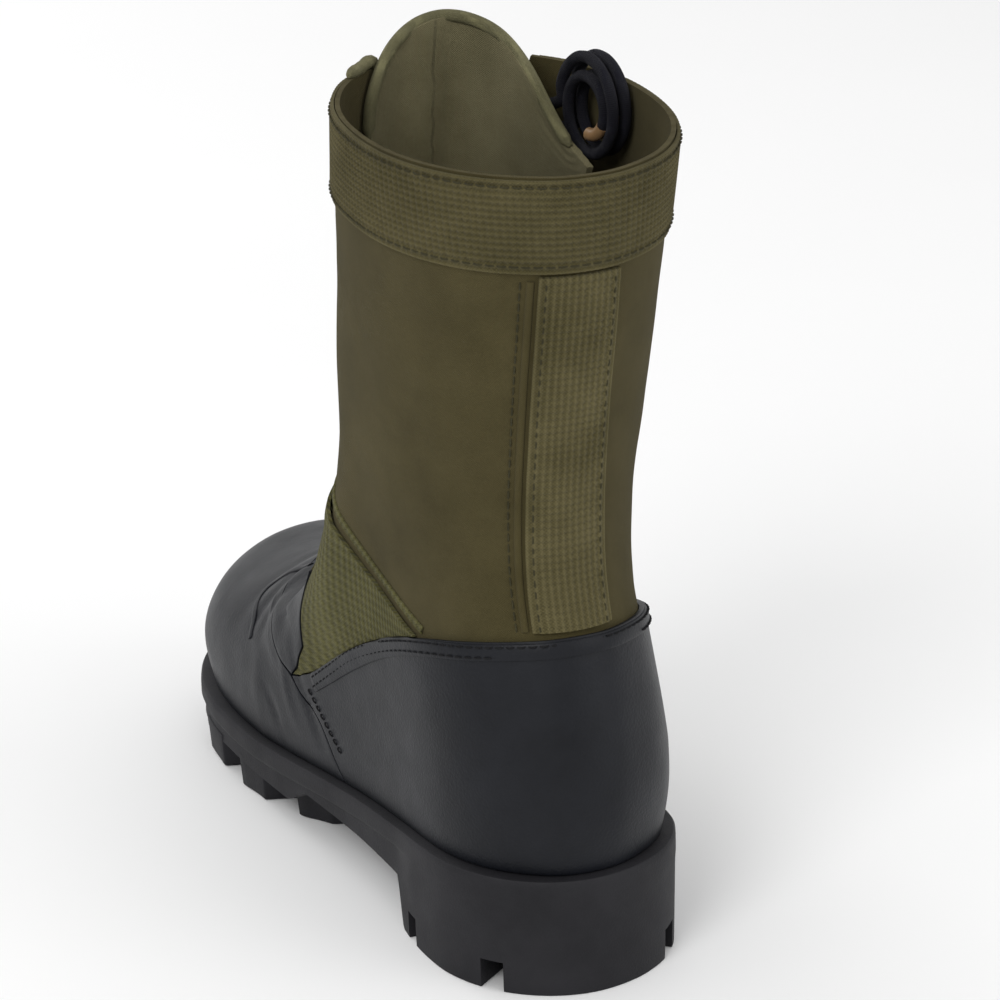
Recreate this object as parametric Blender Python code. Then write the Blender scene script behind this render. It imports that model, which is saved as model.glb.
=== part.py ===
"""Jungle boot for the left foot: canvas upper, black leather vamp and counter, lugged rubber sole.

Toe at +X, left (outer) side at +Y, up at +Z, in metres.
The origin is on the ground, under the middle of the heel.
"""

import functools
import math

import bmesh
import bpy
import numpy as np
from mathutils import Matrix, Vector
from mathutils.bvhtree import BVHTree

# Driving sizes of the last and the shaft
SOLE_LENGTH = 0.302
BOOT_HEIGHT = 0.285
COLLAR_DIP = 0.007
BALL_WIDTH = 0.104
HEEL_WIDTH = 0.076
SHAFT_LENGTH = 0.136
SHAFT_WIDTH = 0.103
ANKLE_WIDTH = 0.079
ANKLE_HEIGHT = 0.150
TOE_SWING = 0.006
HEEL_HEIGHT = 0.042
WAIST_HEIGHT = 0.034
BALL_HEIGHT = 0.025
TOE_HEIGHT = 0.032
TOE_SPRING = 0.009
INSTEP_RISE = 0.092
COUNTER_RISE = 0.080

# Sole
SOLE_RIM = 0.0062
SOLE_STEP = 0.008
STEP_DEPTH = 0.0016
LUG_HEIGHT = 0.010
HEEL_LENGTH = 0.072
ORIGIN = HEEL_LENGTH / 2
TREAD_START = 0.150
WAIST_CLEARANCE = 0.018
NOTCH_WIDTH = 0.008
INSOLE = 0.003

# Thicknesses and clearances
SOLE_CLEARANCE = 0.00045
CANVAS = 0.0016
LEATHER = 0.0018
WEBBING = 0.0013
GAP = 0.0003
SEAM_GAP = 0.0006

# Pieces on the upper
BINDING_WIDTH = 0.0052
BINDING_HEIGHT = 0.0038
TONGUE = 0.0025
EYELETS = 9
EYELET_HOLE = 0.0052
EYELET_RIM = 0.0020
EYELET_HEIGHT = 0.0012
EYELET_INSET = 0.010
LACE = 0.004
COLLAR_BAND = 0.032
BACKSTAY_WIDTH = 0.027
EYESTAY_WIDTH = 0.024
THROAT_LEFT = 0.022
THROAT_RIGHT = 0.032

# Counts of the form's grid
FRONT_COLUMNS = 9
SIDE_COLUMNS = 8
STAY_COLUMNS = 2
HALF = FRONT_COLUMNS + SIDE_COLUMNS + STAY_COLUMNS
COLUMNS = 2 * HALF
FOOT_RINGS = 9
ANKLE_RINGS = 6
SHAFT_RINGS = 6
BAND_RINGS = 2
THROAT_RING = FOOT_RINGS
BAND_RING = FOOT_RINGS + ANKLE_RINGS + SHAFT_RINGS
RISE_ABOVE = 0.026
TOP_RING = BAND_RING + BAND_RINGS


def smooth_rows(rows, per_span):
    """Catmull-Rom curve through rows of equal length, with per_span steps between rows."""
    rows = np.array(rows, float)
    padded = np.vstack([2 * rows[0] - rows[1], rows, 2 * rows[-1] - rows[-2]])
    found = []
    for i in range(1, len(padded) - 2):
        a, b, c, d = padded[i - 1 : i + 3]
        for t in np.linspace(0, 1, per_span, endpoint=False):
            found.append(
                0.5 * (2 * b + (c - a) * t + (2 * a - 5 * b + 4 * c - d) * t**2 + (3 * b - a - 3 * c + d) * t**3)
            )
    found.append(padded[-2])
    return np.array(found)


def smooth_step(t):
    t = np.clip(t, 0, 1)
    return t * t * (3 - 2 * t)


def lookup(rows, where):
    """Second and later columns of rows, read at where in the first column along a smooth curve."""
    dense = smooth_rows(rows, 12)
    return [np.interp(where, dense[:, 0], dense[:, i]) for i in range(1, dense.shape[1])]


# Feather line, where the upper meets the sole: along (share of SOLE_LENGTH), height
FEATHER = [
    (0.00, HEEL_HEIGHT),
    (0.15, HEEL_HEIGHT - 0.001),
    (0.30, WAIST_HEIGHT + 0.002),
    (0.45, WAIST_HEIGHT - 0.003),
    (0.65, BALL_HEIGHT),
    (0.80, BALL_HEIGHT + 0.001),
    (1.00, TOE_HEIGHT),
]


def feather_height(x):
    return lookup(FEATHER, np.asarray(x) / SOLE_LENGTH)[0]


# Ridge from toe tip to instep: along (share of SOLE_LENGTH), rise over TOE_HEIGHT (share of
# INSTEP_RISE), depth of the rounding on the left and on the right (shares of BALL_WIDTH)
FOOT_RIDGE = [
    (0.971, -0.10, 0.50, 0.46),
    (0.982, 0.03, 0.50, 0.46),
    (0.982, 0.17, 0.46, 0.42),
    (0.970, 0.30, 0.42, 0.38),
    (0.940, 0.38, 0.38, 0.35),
    (0.880, 0.44, 0.35, 0.33),
    (0.800, 0.49, 0.36, 0.34),
    (0.720, 0.56, 0.38, 0.36),
    (0.640, 0.68, 0.37, 0.37),
    (0.570, 0.84, 0.34, 0.36),
    (0.515, 1.00, 0.32, 0.36),
]
# Front of the shaft: share of the way back from the instep to the collar's front, share of the
# height from instep to collar, rounding (shares of SHAFT_WIDTH)
SHAFT_FRONT = [
    (0.24, 0.13, 0.36, 0.40),
    (0.42, 0.30, 0.42, 0.45),
    (0.60, 0.52, 0.50, 0.50),
    (0.80, 0.78, 0.58, 0.58),
    (1.00, 1.00, 0.62, 0.62),
    (1.18, 1.20, 0.64, 0.64),
]
COLLAR_BACK = 0.000
COLLAR_FRONT = COLLAR_BACK + SHAFT_LENGTH


def ridge_rows():
    rows = [
        (along * SOLE_LENGTH, TOE_HEIGHT + rise * INSTEP_RISE, left * BALL_WIDTH, right * BALL_WIDTH)
        for along, rise, left, right in FOOT_RIDGE
    ]
    start_x, start_z = rows[-1][:2]
    for back, up, left, right in SHAFT_FRONT:
        x = start_x + back * (COLLAR_FRONT - start_x)
        z = start_z + up * (BOOT_HEIGHT - start_z)
        rows.append((x, z, left * SHAFT_WIDTH, right * SHAFT_WIDTH))
    return rows


# Back of the counter: forward of the sole's back (share of SOLE_LENGTH), rise over HEEL_HEIGHT
# (share of COUNTER_RISE), rounding (share of HEEL_WIDTH)
COUNTER_BACK = [
    (0.034, -0.20, 0.52),
    (0.028, 0.00, 0.54),
    (0.017, 0.16, 0.57),
    (0.014, 0.34, 0.59),
    (0.020, 0.54, 0.61),
    (0.034, 0.78, 0.64),
    (0.050, 1.00, 0.68),
]
# Back of the shaft: share of the way from the counter's top back to the collar's back, share of
# the height from the counter's top to the collar, rounding (share of SHAFT_WIDTH)
SHAFT_BACK = [
    (-0.35, 0.10, 0.57),
    (-0.40, 0.25, 0.59),
    (-0.15, 0.43, 0.61),
    (0.30, 0.64, 0.62),
    (0.80, 0.86, 0.62),
    (1.00, 1.00, 0.62),
    (1.10, 1.20, 0.62),
]


def back_rows():
    rows = [
        (along * SOLE_LENGTH, HEEL_HEIGHT + rise * COUNTER_RISE, depth * HEEL_WIDTH, depth * HEEL_WIDTH)
        for along, rise, depth in COUNTER_BACK
    ]
    start_x, start_z = rows[-1][:2]
    for back, up, depth in SHAFT_BACK:
        x = start_x + back * (COLLAR_BACK - start_x)
        z = start_z + up * (BOOT_HEIGHT - start_z)
        rows.append((x, z, depth * SHAFT_WIDTH, depth * SHAFT_WIDTH))
    return rows


RIDGE = smooth_rows(ridge_rows(), 14)
BACK = smooth_rows(back_rows(), 14)

# Half widths of the foot: along (share of SOLE_LENGTH), left, right (shares of BALL_WIDTH)
FOOT_WIDTHS = [
    (-0.10, 0.352, 0.405),
    (0.00, 0.358, 0.410),
    (0.14, 0.366, 0.400),
    (0.27, 0.368, 0.362),
    (0.38, 0.385, 0.345),
    (0.50, 0.435, 0.380),
    (0.61, 0.488, 0.430),
    (0.70, 0.518, 0.460),
    (0.78, 0.535, 0.468),
    (0.88, 0.515, 0.450),
    (1.00, 0.470, 0.410),
]
# Line that the half widths are measured from: along (share of SOLE_LENGTH), share of TOE_SWING
SWING = [(-0.1, 0.0), (0.25, 0.0), (0.45, -0.10), (0.60, -0.32), (0.75, -0.58), (0.88, -0.82), (1.0, -1.0)]
# Half widths of the shaft: share of the height from ankle to collar, share from ankle to collar width
SHAFT_WIDTHS = [(-0.8, 0.0), (-0.3, 0.0), (0.0, 0.25), (0.3, 0.64), (0.6, 0.83), (0.85, 0.94), (1.0, 1.0), (1.2, 1.02)]


def middle_line(x):
    return TOE_SWING * lookup(SWING, np.asarray(x) / SOLE_LENGTH)[0]


def edge_distance(rows, x, z, inside):
    """Distance in from a profile of the side view, positive inside, and its rounding left and right."""
    start, span = rows[:-1, :2], rows[1:, :2] - rows[:-1, :2]
    offset = np.stack([x, z], -1)[:, None, :] - start
    t = np.clip((offset * span).sum(-1) / (span**2).sum(-1), 0, 1)
    away = offset - t[..., None] * span
    distance = np.hypot(away[..., 0], away[..., 1])
    pick = distance.argmin(1)
    row = np.arange(len(pick))
    along, gap = t[row, pick], away[row, pick]
    cross = span[pick, 0] * gap[:, 1] - span[pick, 1] * gap[:, 0]
    depth = [rows[pick, c] + along * (rows[pick + 1, c] - rows[pick, c]) for c in (2, 3)]
    return distance[row, pick] * np.sign(cross) * inside, depth


def rounding(distance, depth):
    """Squared share of the full width at a distance in from a rounded edge; negative outside it."""
    t = np.minimum(distance / depth, 1)
    return 1 - (1 - t) ** 2


# Flare of the ankle's front, where the quarters splay over the instep
FLARE_X = 0.130
FLARE_Z = 0.112
FLARE_REACH = 0.034
FLARE_LEFT = 0.0075
FLARE_RIGHT = 0.0045
TUCK_HEIGHT = 0.018
TUCK = 0.055


def squared_half_width(x, z, side):
    """Square of the form's half width at a point of the side view. side is 0 for left, 1 for right."""
    x, z = np.atleast_1d(x).astype(float), np.atleast_1d(z).astype(float)
    from_ridge, ridge_depth = edge_distance(RIDGE, x, z, 1)
    from_back, back_depth = edge_distance(BACK, x, z, -1)
    foot = BALL_WIDTH * lookup(FOOT_WIDTHS, x / SOLE_LENGTH)[side]
    rise = (z - ANKLE_HEIGHT) / (BOOT_HEIGHT - ANKLE_HEIGHT)
    shaft = (ANKLE_WIDTH + (SHAFT_WIDTH - ANKLE_WIDTH) * lookup(SHAFT_WIDTHS, rise)[0]) / 2
    up = smooth_step((z - 0.065) / (ANKLE_HEIGHT - 0.055 - 0.065 + 0.03))
    behind = smooth_step((0.62 - x / SOLE_LENGTH) / 0.14)
    full = foot + (shaft - foot) * up * behind
    flare = np.exp(-(((x - FLARE_X) / FLARE_REACH) ** 2) - ((z - FLARE_Z) / FLARE_REACH) ** 2)
    full = full + (FLARE_LEFT, FLARE_RIGHT)[side] * flare
    tuck = 1 - TUCK * np.clip(1 - (z - feather_height(x)) / TUCK_HEIGHT, 0, 1) ** 2
    shape = rounding(from_ridge, ridge_depth[side]) * np.where(from_back > 0, rounding(from_back, back_depth[side]), 1)
    shape = np.where(from_back > 0, shape, rounding(from_back, back_depth[side]))
    return (full * tuck) ** 2 * shape


def arc_lengths(points):
    steps = np.linalg.norm(np.diff(points, axis=0), axis=1)
    return np.concatenate([[0], np.cumsum(steps)])


def point_where(rows, column, value):
    """Arc length share of a profile where one of its columns first passes value."""
    length = arc_lengths(rows[:, :2])
    dense = np.interp(np.linspace(0, length[-1], 4000), length, rows[:, column])
    hit = np.argmax(np.diff(np.sign(dense - value)) != 0)
    return hit / 3999


def point_at(rows, share):
    length = arc_lengths(rows[:, :2])
    return np.array([np.interp(share * length[-1], length, rows[:, c]) for c in (0, 1)])


THROAT_BASE = 0.68
# Key rings: number of rings up to it, height at the back, and the column and value that find its
# point on the ridge (0 for an x, 1 for a z)
COUNTER_TOP = HEEL_HEIGHT + COUNTER_RISE
KEY_RINGS = [
    (0, HEEL_HEIGHT, 1, TOE_HEIGHT),
    (FOOT_RINGS, COUNTER_TOP, 0, THROAT_BASE * SOLE_LENGTH),
    (FOOT_RINGS + ANKLE_RINGS, ANKLE_HEIGHT + 0.025, 1, ANKLE_HEIGHT + 0.010),
    (BAND_RING, BOOT_HEIGHT - COLLAR_DIP - COLLAR_BAND, 1, BOOT_HEIGHT - COLLAR_BAND),
    (TOP_RING, BOOT_HEIGHT - COLLAR_DIP, 1, BOOT_HEIGHT),
    (TOP_RING + BAND_RINGS, BOOT_HEIGHT - COLLAR_DIP + RISE_ABOVE, 1, BOOT_HEIGHT + RISE_ABOVE),
]


def ring_ends(ring):
    """Side-view points on the back and on the ridge that a ring runs between."""
    numbers = [row[0] for row in KEY_RINGS]
    backs = [point_where(BACK, 1, row[1]) for row in KEY_RINGS]
    fronts = [point_where(RIDGE, row[2], row[3]) for row in KEY_RINGS]
    return (
        point_at(BACK, np.interp(ring, numbers, backs)),
        point_at(RIDGE, np.interp(ring, numbers, fronts)),
    )


# Dip of the leather's top line below a straight line from heel to throat: along (share of
# SOLE_LENGTH), dip (share of COUNTER_RISE)
LEATHER_DIP = [(0.04, 0.0), (0.20, 0.03), (0.35, 0.18), (0.46, 0.38), (0.53, 0.44), (0.60, 0.27), (0.68, 0.0), (0.80, 0.0)]
DIP_FADE = 1.8


def ring_path(ring, share):
    """Side-view points of a ring, at shares of the way from back to ridge."""
    back, front = ring_ends(ring)
    points = back + np.outer(share, front - back)
    start, end = feather_height(back[0]), feather_height(front[0])
    sag = feather_height(points[:, 0]) - (start + share * (end - start))
    points[:, 1] += sag * np.clip(1 - ring / FOOT_RINGS, 0, 1) ** 1.5
    dip = COUNTER_RISE * lookup(LEATHER_DIP, points[:, 0] / SOLE_LENGTH)[0]
    away = 1 - ring / THROAT_RING if ring <= THROAT_RING else (ring - THROAT_RING) / ANKLE_RINGS
    fade = 1 - away**DIP_FADE if ring <= THROAT_RING else 1 - away
    points[:, 1] -= dip * max(fade, 0)
    return points


# Half the throat's opening: share of the height from throat base to collar, left and right (shares
# of THROAT_LEFT and THROAT_RIGHT)
THROAT = [(0.0, 0.0, 0.0), (0.06, 0.40, 0.27), (0.30, 0.55, 0.40), (0.60, 0.68, 0.52), (0.85, 0.86, 0.78), (1.0, 1.0, 1.0)]
# Seam between vamp and counter: along (share of SOLE_LENGTH) at the sole and at its top
SEAM_FOOT = 0.42
SEAM_TOP = 0.53
# Rings over which the seam's line runs into the eyestay's rear edge
SEAM_RINGS = 4
NORMAL_STEP = 0.0004
FRONT_SKIP = 3
FACING_RING = THROAT_RING + 3
# Rear edge of the ankle strap: along (share of SOLE_LENGTH), height (share of BOOT_HEIGHT)
STRAP_TOP = (0.47, 0.497)
STRAP_FOOT = (0.162, 0.382)


@functools.lru_cache(maxsize=None)
def ridge_share(ring):
    """Share of a ring's path at which it first meets the ridge."""
    share = np.linspace(0.5, 1, 400)
    path = ring_path(ring, share)
    distance = edge_distance(RIDGE, path[:, 0], path[:, 1], 1)[0]
    outside = np.flatnonzero(distance <= 0)
    if not len(outside) or outside[0] == 0:
        return 1.0
    i = outside[0]
    t = distance[i - 1] / (distance[i - 1] - distance[i])
    return share[i - 1] + t * (share[i] - share[i - 1])


def whole_half_ring(ring, side, count=240):
    """One side of a ring with the throat closed, from the back's middle to the ridge."""
    share = ridge_share(ring) * (0.5 - 0.5 * np.cos(np.linspace(0, math.pi, count)))
    path = ring_path(ring, share)
    half = np.sqrt(np.clip(squared_half_width(path[:, 0], path[:, 1], side), 0, None))
    half[0] = 0
    half[-1] = 0
    turn = 1 if side == 0 else -1
    return np.stack([path[:, 0], middle_line(path[:, 0]) + turn * half, path[:, 1]], -1)


def throat_half(ring, side):
    """Half the throat's opening at a ring, across the boot."""
    if ring <= THROAT_RING:
        return 0.0
    rise = (ring - THROAT_RING) / (TOP_RING - THROAT_RING)
    return lookup(THROAT, rise)[side] * (THROAT_LEFT, THROAT_RIGHT)[side]


def half_ring(ring, side):
    """One side of a ring, from the back's middle to the ridge or the throat's edge."""
    points = whole_half_ring(ring, side)
    opening = throat_half(ring, side)
    if not opening:
        return points
    across = np.abs(points[:, 1] - middle_line(points[:, 0]))
    last = len(across) - 1 - np.argmax(across[::-1] > opening)
    t = (opening - across[last + 1]) / (across[last] - across[last + 1])
    return np.vstack([points[: last + 1], points[last + 1] + t * (points[last] - points[last + 1])])


def resample(points, places):
    length = arc_lengths(points)
    return np.stack([np.interp(places, length, points[:, i]) for i in range(points.shape[1])], -1)


def column_places(ring, points):
    """Arc lengths of a half ring's columns, from the back's middle forward."""
    length = arc_lengths(points)
    total = length[-1]
    if ring <= THROAT_RING:
        seam_x = (SEAM_FOOT + (SEAM_TOP - SEAM_FOOT) * ring / THROAT_RING) * SOLE_LENGTH
        seam = np.interp(seam_x, points[:, 0], length)
    else:
        base = half_ring(THROAT_RING, 0)
        base_length = arc_lengths(base)
        front = base_length[-1] - np.interp(SEAM_TOP * SOLE_LENGTH, base[:, 0], base_length)
        fade = smooth_step((ring - THROAT_RING) / SEAM_RINGS)
        seam = total - (front + (EYESTAY_WIDTH - front) * fade)
    stay = BACKSTAY_WIDTH / 2
    return np.concatenate([
        np.linspace(0, stay, STAY_COLUMNS, endpoint=False),
        np.linspace(stay, seam, SIDE_COLUMNS, endpoint=False),
        np.linspace(seam, total, FRONT_COLUMNS + 1),
    ])


def ring_points(ring):
    """A whole ring: front left, back along the left, the back's middle, forward along the right."""
    sides = []
    for side in (0, 1):
        points = half_ring(ring, side)
        sides.append(resample(points, column_places(ring, points)))
    return np.vstack([sides[0][::-1], sides[1][1:]])


def form_normals(points):
    """Outward unit normals of the form at points on or near it."""
    points = np.asarray(points, float)
    x, z = points[:, 0], points[:, 2]
    across = points[:, 1] - middle_line(x)
    found = np.zeros_like(points)
    for side in (0, 1):
        slopes = []
        for dx, dz in ((NORMAL_STEP, 0), (0, NORMAL_STEP)):
            rise = squared_half_width(x + dx, z + dz, side) - squared_half_width(x - dx, z - dz, side)
            slopes.append(rise / (2 * NORMAL_STEP))
        normal = np.stack([-slopes[0], 2 * across, -slopes[1]], -1)
        turn = 1 if side == 0 else -1
        use = np.where(np.abs(across) < NORMAL_STEP, 0.5, np.where(across * turn > 0, 1.0, 0.0))
        found += use[:, None] * normal
    return found / np.linalg.norm(found, axis=1, keepdims=True)


# The form as triangles. A vertex is (ring, column); above the throat's base only every third
# column of the front is kept
RING_POINTS = [ring_points(ring) for ring in range(TOP_RING + 1)]


def kept_columns(ring):
    if ring <= THROAT_RING:
        return list(range(COLUMNS + 1))
    front = [c for c in range(FRONT_COLUMNS) if c % FRONT_SKIP == 0]
    return front + list(range(FRONT_COLUMNS, COLUMNS + 1 - FRONT_COLUMNS)) + [COLUMNS - c for c in front[::-1]]


def form_triangles(first_ring, last_ring, wanted):
    """Triangles of the form between two rings, for spans of columns that wanted(ring, a, b) accepts."""
    found = []
    for ring in range(first_ring, last_ring):
        low, high = kept_columns(ring), kept_columns(ring + 1)
        for a, b in zip(high, high[1:]):
            if not wanted(ring, a, b):
                continue
            between = [c for c in low if a <= c <= b]
            split = len(between) // 2
            for i in range(len(between) - 1):
                top = a if i < split else b
                found.append(((ring, between[i]), (ring, between[i + 1]), (ring + 1, top)))
            found.append(((ring, between[split]), (ring + 1, b), (ring + 1, a)))
    return found


def vertex_place(key):
    return RING_POINTS[key[0]][key[1]]


def skin(triangles):
    """A mesh of form triangles; the two front columns are one where the throat is closed."""
    mesh = bmesh.new()
    made = {}
    for triangle in triangles:
        corners = []
        for ring, column in triangle:
            if ring <= THROAT_RING and column == COLUMNS:
                column = 0
            key = (ring, column)
            if key not in made:
                made[key] = mesh.verts.new(vertex_place(key))
            corners.append(made[key])
        if len(set(corners)) == 3:
            mesh.faces.new(corners)
    return mesh


def cut(mesh, point, normal):
    """Remove what lies on the normal's side of a plane."""
    parts = mesh.verts[:] + mesh.edges[:] + mesh.faces[:]
    bmesh.ops.bisect_plane(
        mesh, geom=parts, dist=1e-7, plane_co=Vector(point), plane_no=Vector(normal), clear_outer=True
    )
    bmesh.ops.triangulate(mesh, faces=mesh.faces[:])


def shrink(mesh, margin):
    """Move a skin's border inward along its own faces."""
    mesh.normal_update()
    moves = {}
    for edge in mesh.edges:
        if not edge.is_boundary:
            continue
        face = edge.link_faces[0]
        loop = edge.link_loops[0]
        along = (loop.link_loop_next.vert.co - loop.vert.co).normalized()
        inward = face.normal.cross(along)
        for vert in edge.verts:
            moves.setdefault(vert, []).append(inward)
    for vert, inwards in moves.items():
        total = inwards[0] + inwards[-1]
        share = 1 + inwards[0].dot(inwards[-1])
        vert.co += total * (margin / max(share, 0.5))


def thicken(mesh, inner, outer):
    """Closed solid between two offsets from a skin, along the form's normals."""
    places = np.array([vert.co[:] for vert in mesh.verts])
    normals = form_normals(places)
    solid = bmesh.new()
    low = [solid.verts.new(p) for p in places + normals * inner]
    high = [solid.verts.new(p) for p in places + normals * outer]
    mesh.verts.index_update()
    for face in mesh.faces:
        corners = [vert.index for vert in face.verts]
        solid.faces.new([high[i] for i in corners])
        solid.faces.new([low[i] for i in corners[::-1]])
    for edge in mesh.edges:
        if edge.is_boundary:
            loop = edge.link_loops[0]
            a, b = loop.vert.index, loop.link_loop_next.vert.index
            solid.faces.new([low[a], low[b], high[b]])
            solid.faces.new([low[a], high[b], high[a]])
    mesh.free()
    return solid


def add_object(name, mesh, colour, roughness):
    """Turn a bmesh into a named object with a material of its own."""
    bmesh.ops.recalc_face_normals(mesh, faces=mesh.faces[:])
    data = bpy.data.meshes.new(name)
    mesh.to_mesh(data)
    mesh.free()
    thing = bpy.data.objects.new(name, data)
    bpy.context.collection.objects.link(thing)
    material = bpy.data.materials.new(name)
    material.use_nodes = True
    shader = material.node_tree.nodes["Principled BSDF"]
    shader.inputs["Base Color"].default_value = (*colour, 1)
    shader.inputs["Roughness"].default_value = roughness
    data.materials.append(material)
    data.shade_smooth()
    data.set_sharp_from_angle(angle=math.radians(35))
    return thing


CANVAS_COLOUR = (0.070, 0.058, 0.028)
WEBBING_COLOUR = (0.095, 0.083, 0.035)
LEATHER_COLOUR = (0.022, 0.022, 0.025)
RUBBER_COLOUR = (0.030, 0.029, 0.032)
TONGUE_COLOUR = (0.105, 0.092, 0.050)
LACE_COLOUR = (0.014, 0.015, 0.022)
METAL_COLOUR = (0.020, 0.020, 0.022)

# Layers over the form, outward
FIRST = GAP
LEATHER_TOP = FIRST + LEATHER
WEBBING_TOP = FIRST + WEBBING
MARGIN = SEAM_GAP / 2


def in_front(column_a, column_b):
    return column_b <= FRONT_COLUMNS or column_a >= COLUMNS - FRONT_COLUMNS


def on_left(column_a):
    return column_a < HALF


def make_upper():
    mesh = skin(form_triangles(0, TOP_RING, lambda ring, a, b: True))
    add_object("upper", thicken(mesh, -CANVAS, 0), CANVAS_COLOUR, 0.9)


def make_vamp():
    mesh = skin(form_triangles(0, THROAT_RING, lambda ring, a, b: in_front(a, b)))
    shrink(mesh, MARGIN)
    add_object("vamp", thicken(mesh, FIRST, LEATHER_TOP), LEATHER_COLOUR, 0.4)


def make_counter():
    mesh = skin(form_triangles(0, THROAT_RING, lambda ring, a, b: not in_front(a, b)))
    shrink(mesh, MARGIN)
    add_object("counter", thicken(mesh, FIRST, LEATHER_TOP), LEATHER_COLOUR, 0.35)


def make_backstay():
    """Webbing strip down the back, from the collar band to the counter."""
    stay = range(HALF - STAY_COLUMNS, HALF + STAY_COLUMNS)
    mesh = skin(form_triangles(THROAT_RING, BAND_RING, lambda ring, a, b: a in stay))
    shrink(mesh, MARGIN)
    add_object("backstay", thicken(mesh, FIRST, WEBBING_TOP), WEBBING_COLOUR, 0.9)


def make_collar_band():
    mesh = skin(form_triangles(BAND_RING, TOP_RING, lambda ring, a, b: True))
    shrink(mesh, MARGIN)
    add_object("collar_band", thicken(mesh, FIRST, WEBBING_TOP), WEBBING_COLOUR, 0.9)


def make_eyestays():
    """Leather facings beside the lower throat, and webbing eyestays from them to the collar band."""
    for side, name in enumerate(("left", "right")):
        def wanted(ring, a, b):
            return in_front(a, b) and on_left(a) == (side == 0)

        facing = skin(form_triangles(THROAT_RING, FACING_RING, wanted))
        shrink(facing, MARGIN)
        add_object("facing_" + name, thicken(facing, FIRST, LEATHER_TOP), LEATHER_COLOUR, 0.4)
        stay = skin(form_triangles(FACING_RING, BAND_RING, wanted))
        shrink(stay, MARGIN)
        add_object("eyestay_" + name, thicken(stay, FIRST, WEBBING_TOP), WEBBING_COLOUR, 0.9)


def make_ankle_straps():
    """Webbing from each eyestay down to the counter, with a slanted rear edge."""
    top = Vector((STRAP_TOP[0] * SOLE_LENGTH, 0, STRAP_TOP[1] * BOOT_HEIGHT))
    foot = Vector((STRAP_FOOT[0] * SOLE_LENGTH, 0, STRAP_FOOT[1] * BOOT_HEIGHT))
    along = top - foot
    for side, name in enumerate(("left", "right")):
        def wanted(ring, a, b):
            near_stay = HALF - STAY_COLUMNS <= a < HALF + STAY_COLUMNS
            return not in_front(a, b) and not near_stay and on_left(a) == (side == 0)

        mesh = skin(form_triangles(THROAT_RING, BAND_RING, wanted))
        cut(mesh, top, (-along.z, 0, along.x))
        shrink(mesh, MARGIN)
        add_object("ankle_strap_" + name, thicken(mesh, FIRST, WEBBING_TOP), WEBBING_COLOUR, 0.9)


def sole_outline(side, outward):
    """One side of the feather line in plan, from heel to toe, moved outward."""
    points = whole_half_ring(0, side)[:, :2]
    along = np.gradient(points, axis=0)
    along /= np.linalg.norm(along, axis=1, keepdims=True)
    turn = 1 if side == 0 else -1
    along[0] = (0, turn)
    along[-1] = (0, -turn)
    return points + outward * turn * np.stack([-along[:, 1], along[:, 0]], -1)


def sole_edge(side, outward, x):
    """Plan points of the sole's edge at places along it, kept within its ends."""
    line = sole_outline(side, outward)
    x = np.clip(x, line[0, 0], line[-1, 0])
    return np.stack([x, np.interp(x, line[:, 0], line[:, 1])], -1)


def spring(x):
    """Height of the tread above the ground."""
    t = np.clip((np.asarray(x) / SOLE_LENGTH - SPRING_START) / (1 - SPRING_START), 0, 1)
    return TOE_SPRING * t**SPRING_POWER


SPRING_START = 0.74
SPRING_POWER = 1.6
BREAST = 0.004


def underside(x):
    """Height of the sole's body above the ground, without the forefoot's lugs."""
    x = np.asarray(x, float)
    tread = LUG_HEIGHT + spring(x)
    rise = smooth_step((x - TREAD_START) / WAIST_RUN)
    waist = WAIST_CLEARANCE + (tread - WAIST_CLEARANCE) * rise
    return np.where(x <= HEEL_LENGTH, 0.0, waist * np.clip((x - HEEL_LENGTH) / BREAST, 0, 1))


WAIST_RUN = 0.020
SOLE_STATIONS = 22


def loft(rows):
    """Closed solid through rows of plan outlines; each row is (left points, right points), with both ends shared."""
    mesh = bmesh.new()
    loops = []
    for left, right in rows:
        loops.append([mesh.verts.new(p) for p in np.vstack([left, right[-2:0:-1]])])
    count = len(loops[0])
    for low, high in zip(loops, loops[1:]):
        for i in range(count):
            j = (i + 1) % count
            mesh.faces.new([low[i], low[j], high[j], high[i]])
    for ring in (loops[0], loops[-1]):
        last = (count - 2) // 2 + 1
        for i in range(last):
            corners = [ring[i], ring[i + 1], ring[count - i - 1], ring[(count - i) % count]]
            unique = list(dict.fromkeys(corners))
            mesh.faces.new(unique)
    bmesh.ops.triangulate(mesh, faces=mesh.faces[:])
    bmesh.ops.recalc_face_normals(mesh, faces=mesh.faces[:])
    return mesh


def block(corners, low, high, draft):
    """Prism over a plan outline from low to high, its foot drawn in by draft."""
    mesh = bmesh.new()
    corners = np.array(corners)
    middle = corners.mean(0)
    foot = corners + draft * (middle - corners) / np.linalg.norm(middle - corners, axis=1, keepdims=True)
    bottom = [mesh.verts.new((*p, z)) for p, z in zip(foot, low)]
    top = [mesh.verts.new((*p, z)) for p, z in zip(corners, high)]
    mesh.faces.new(bottom[::-1])
    mesh.faces.new(top)
    for i in range(len(corners)):
        j = (i + 1) % len(corners)
        mesh.faces.new([bottom[i], bottom[j], top[j], top[i]])
    bmesh.ops.triangulate(mesh, faces=mesh.faces[:])
    bmesh.ops.recalc_face_normals(mesh, faces=mesh.faces[:])
    return mesh


def merge(meshes, name):
    """Several closed bodies as one object that a Boolean then uses up."""
    whole = bpy.data.meshes.new(name)
    joined = bmesh.new()
    for mesh in meshes:
        piece = bpy.data.meshes.new(name + "_piece")
        mesh.to_mesh(piece)
        mesh.free()
        joined.from_mesh(piece)
        bpy.data.meshes.remove(piece)
    joined.to_mesh(whole)
    joined.free()
    tool = bpy.data.objects.new(name, whole)
    bpy.context.collection.objects.link(tool)
    return tool


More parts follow.
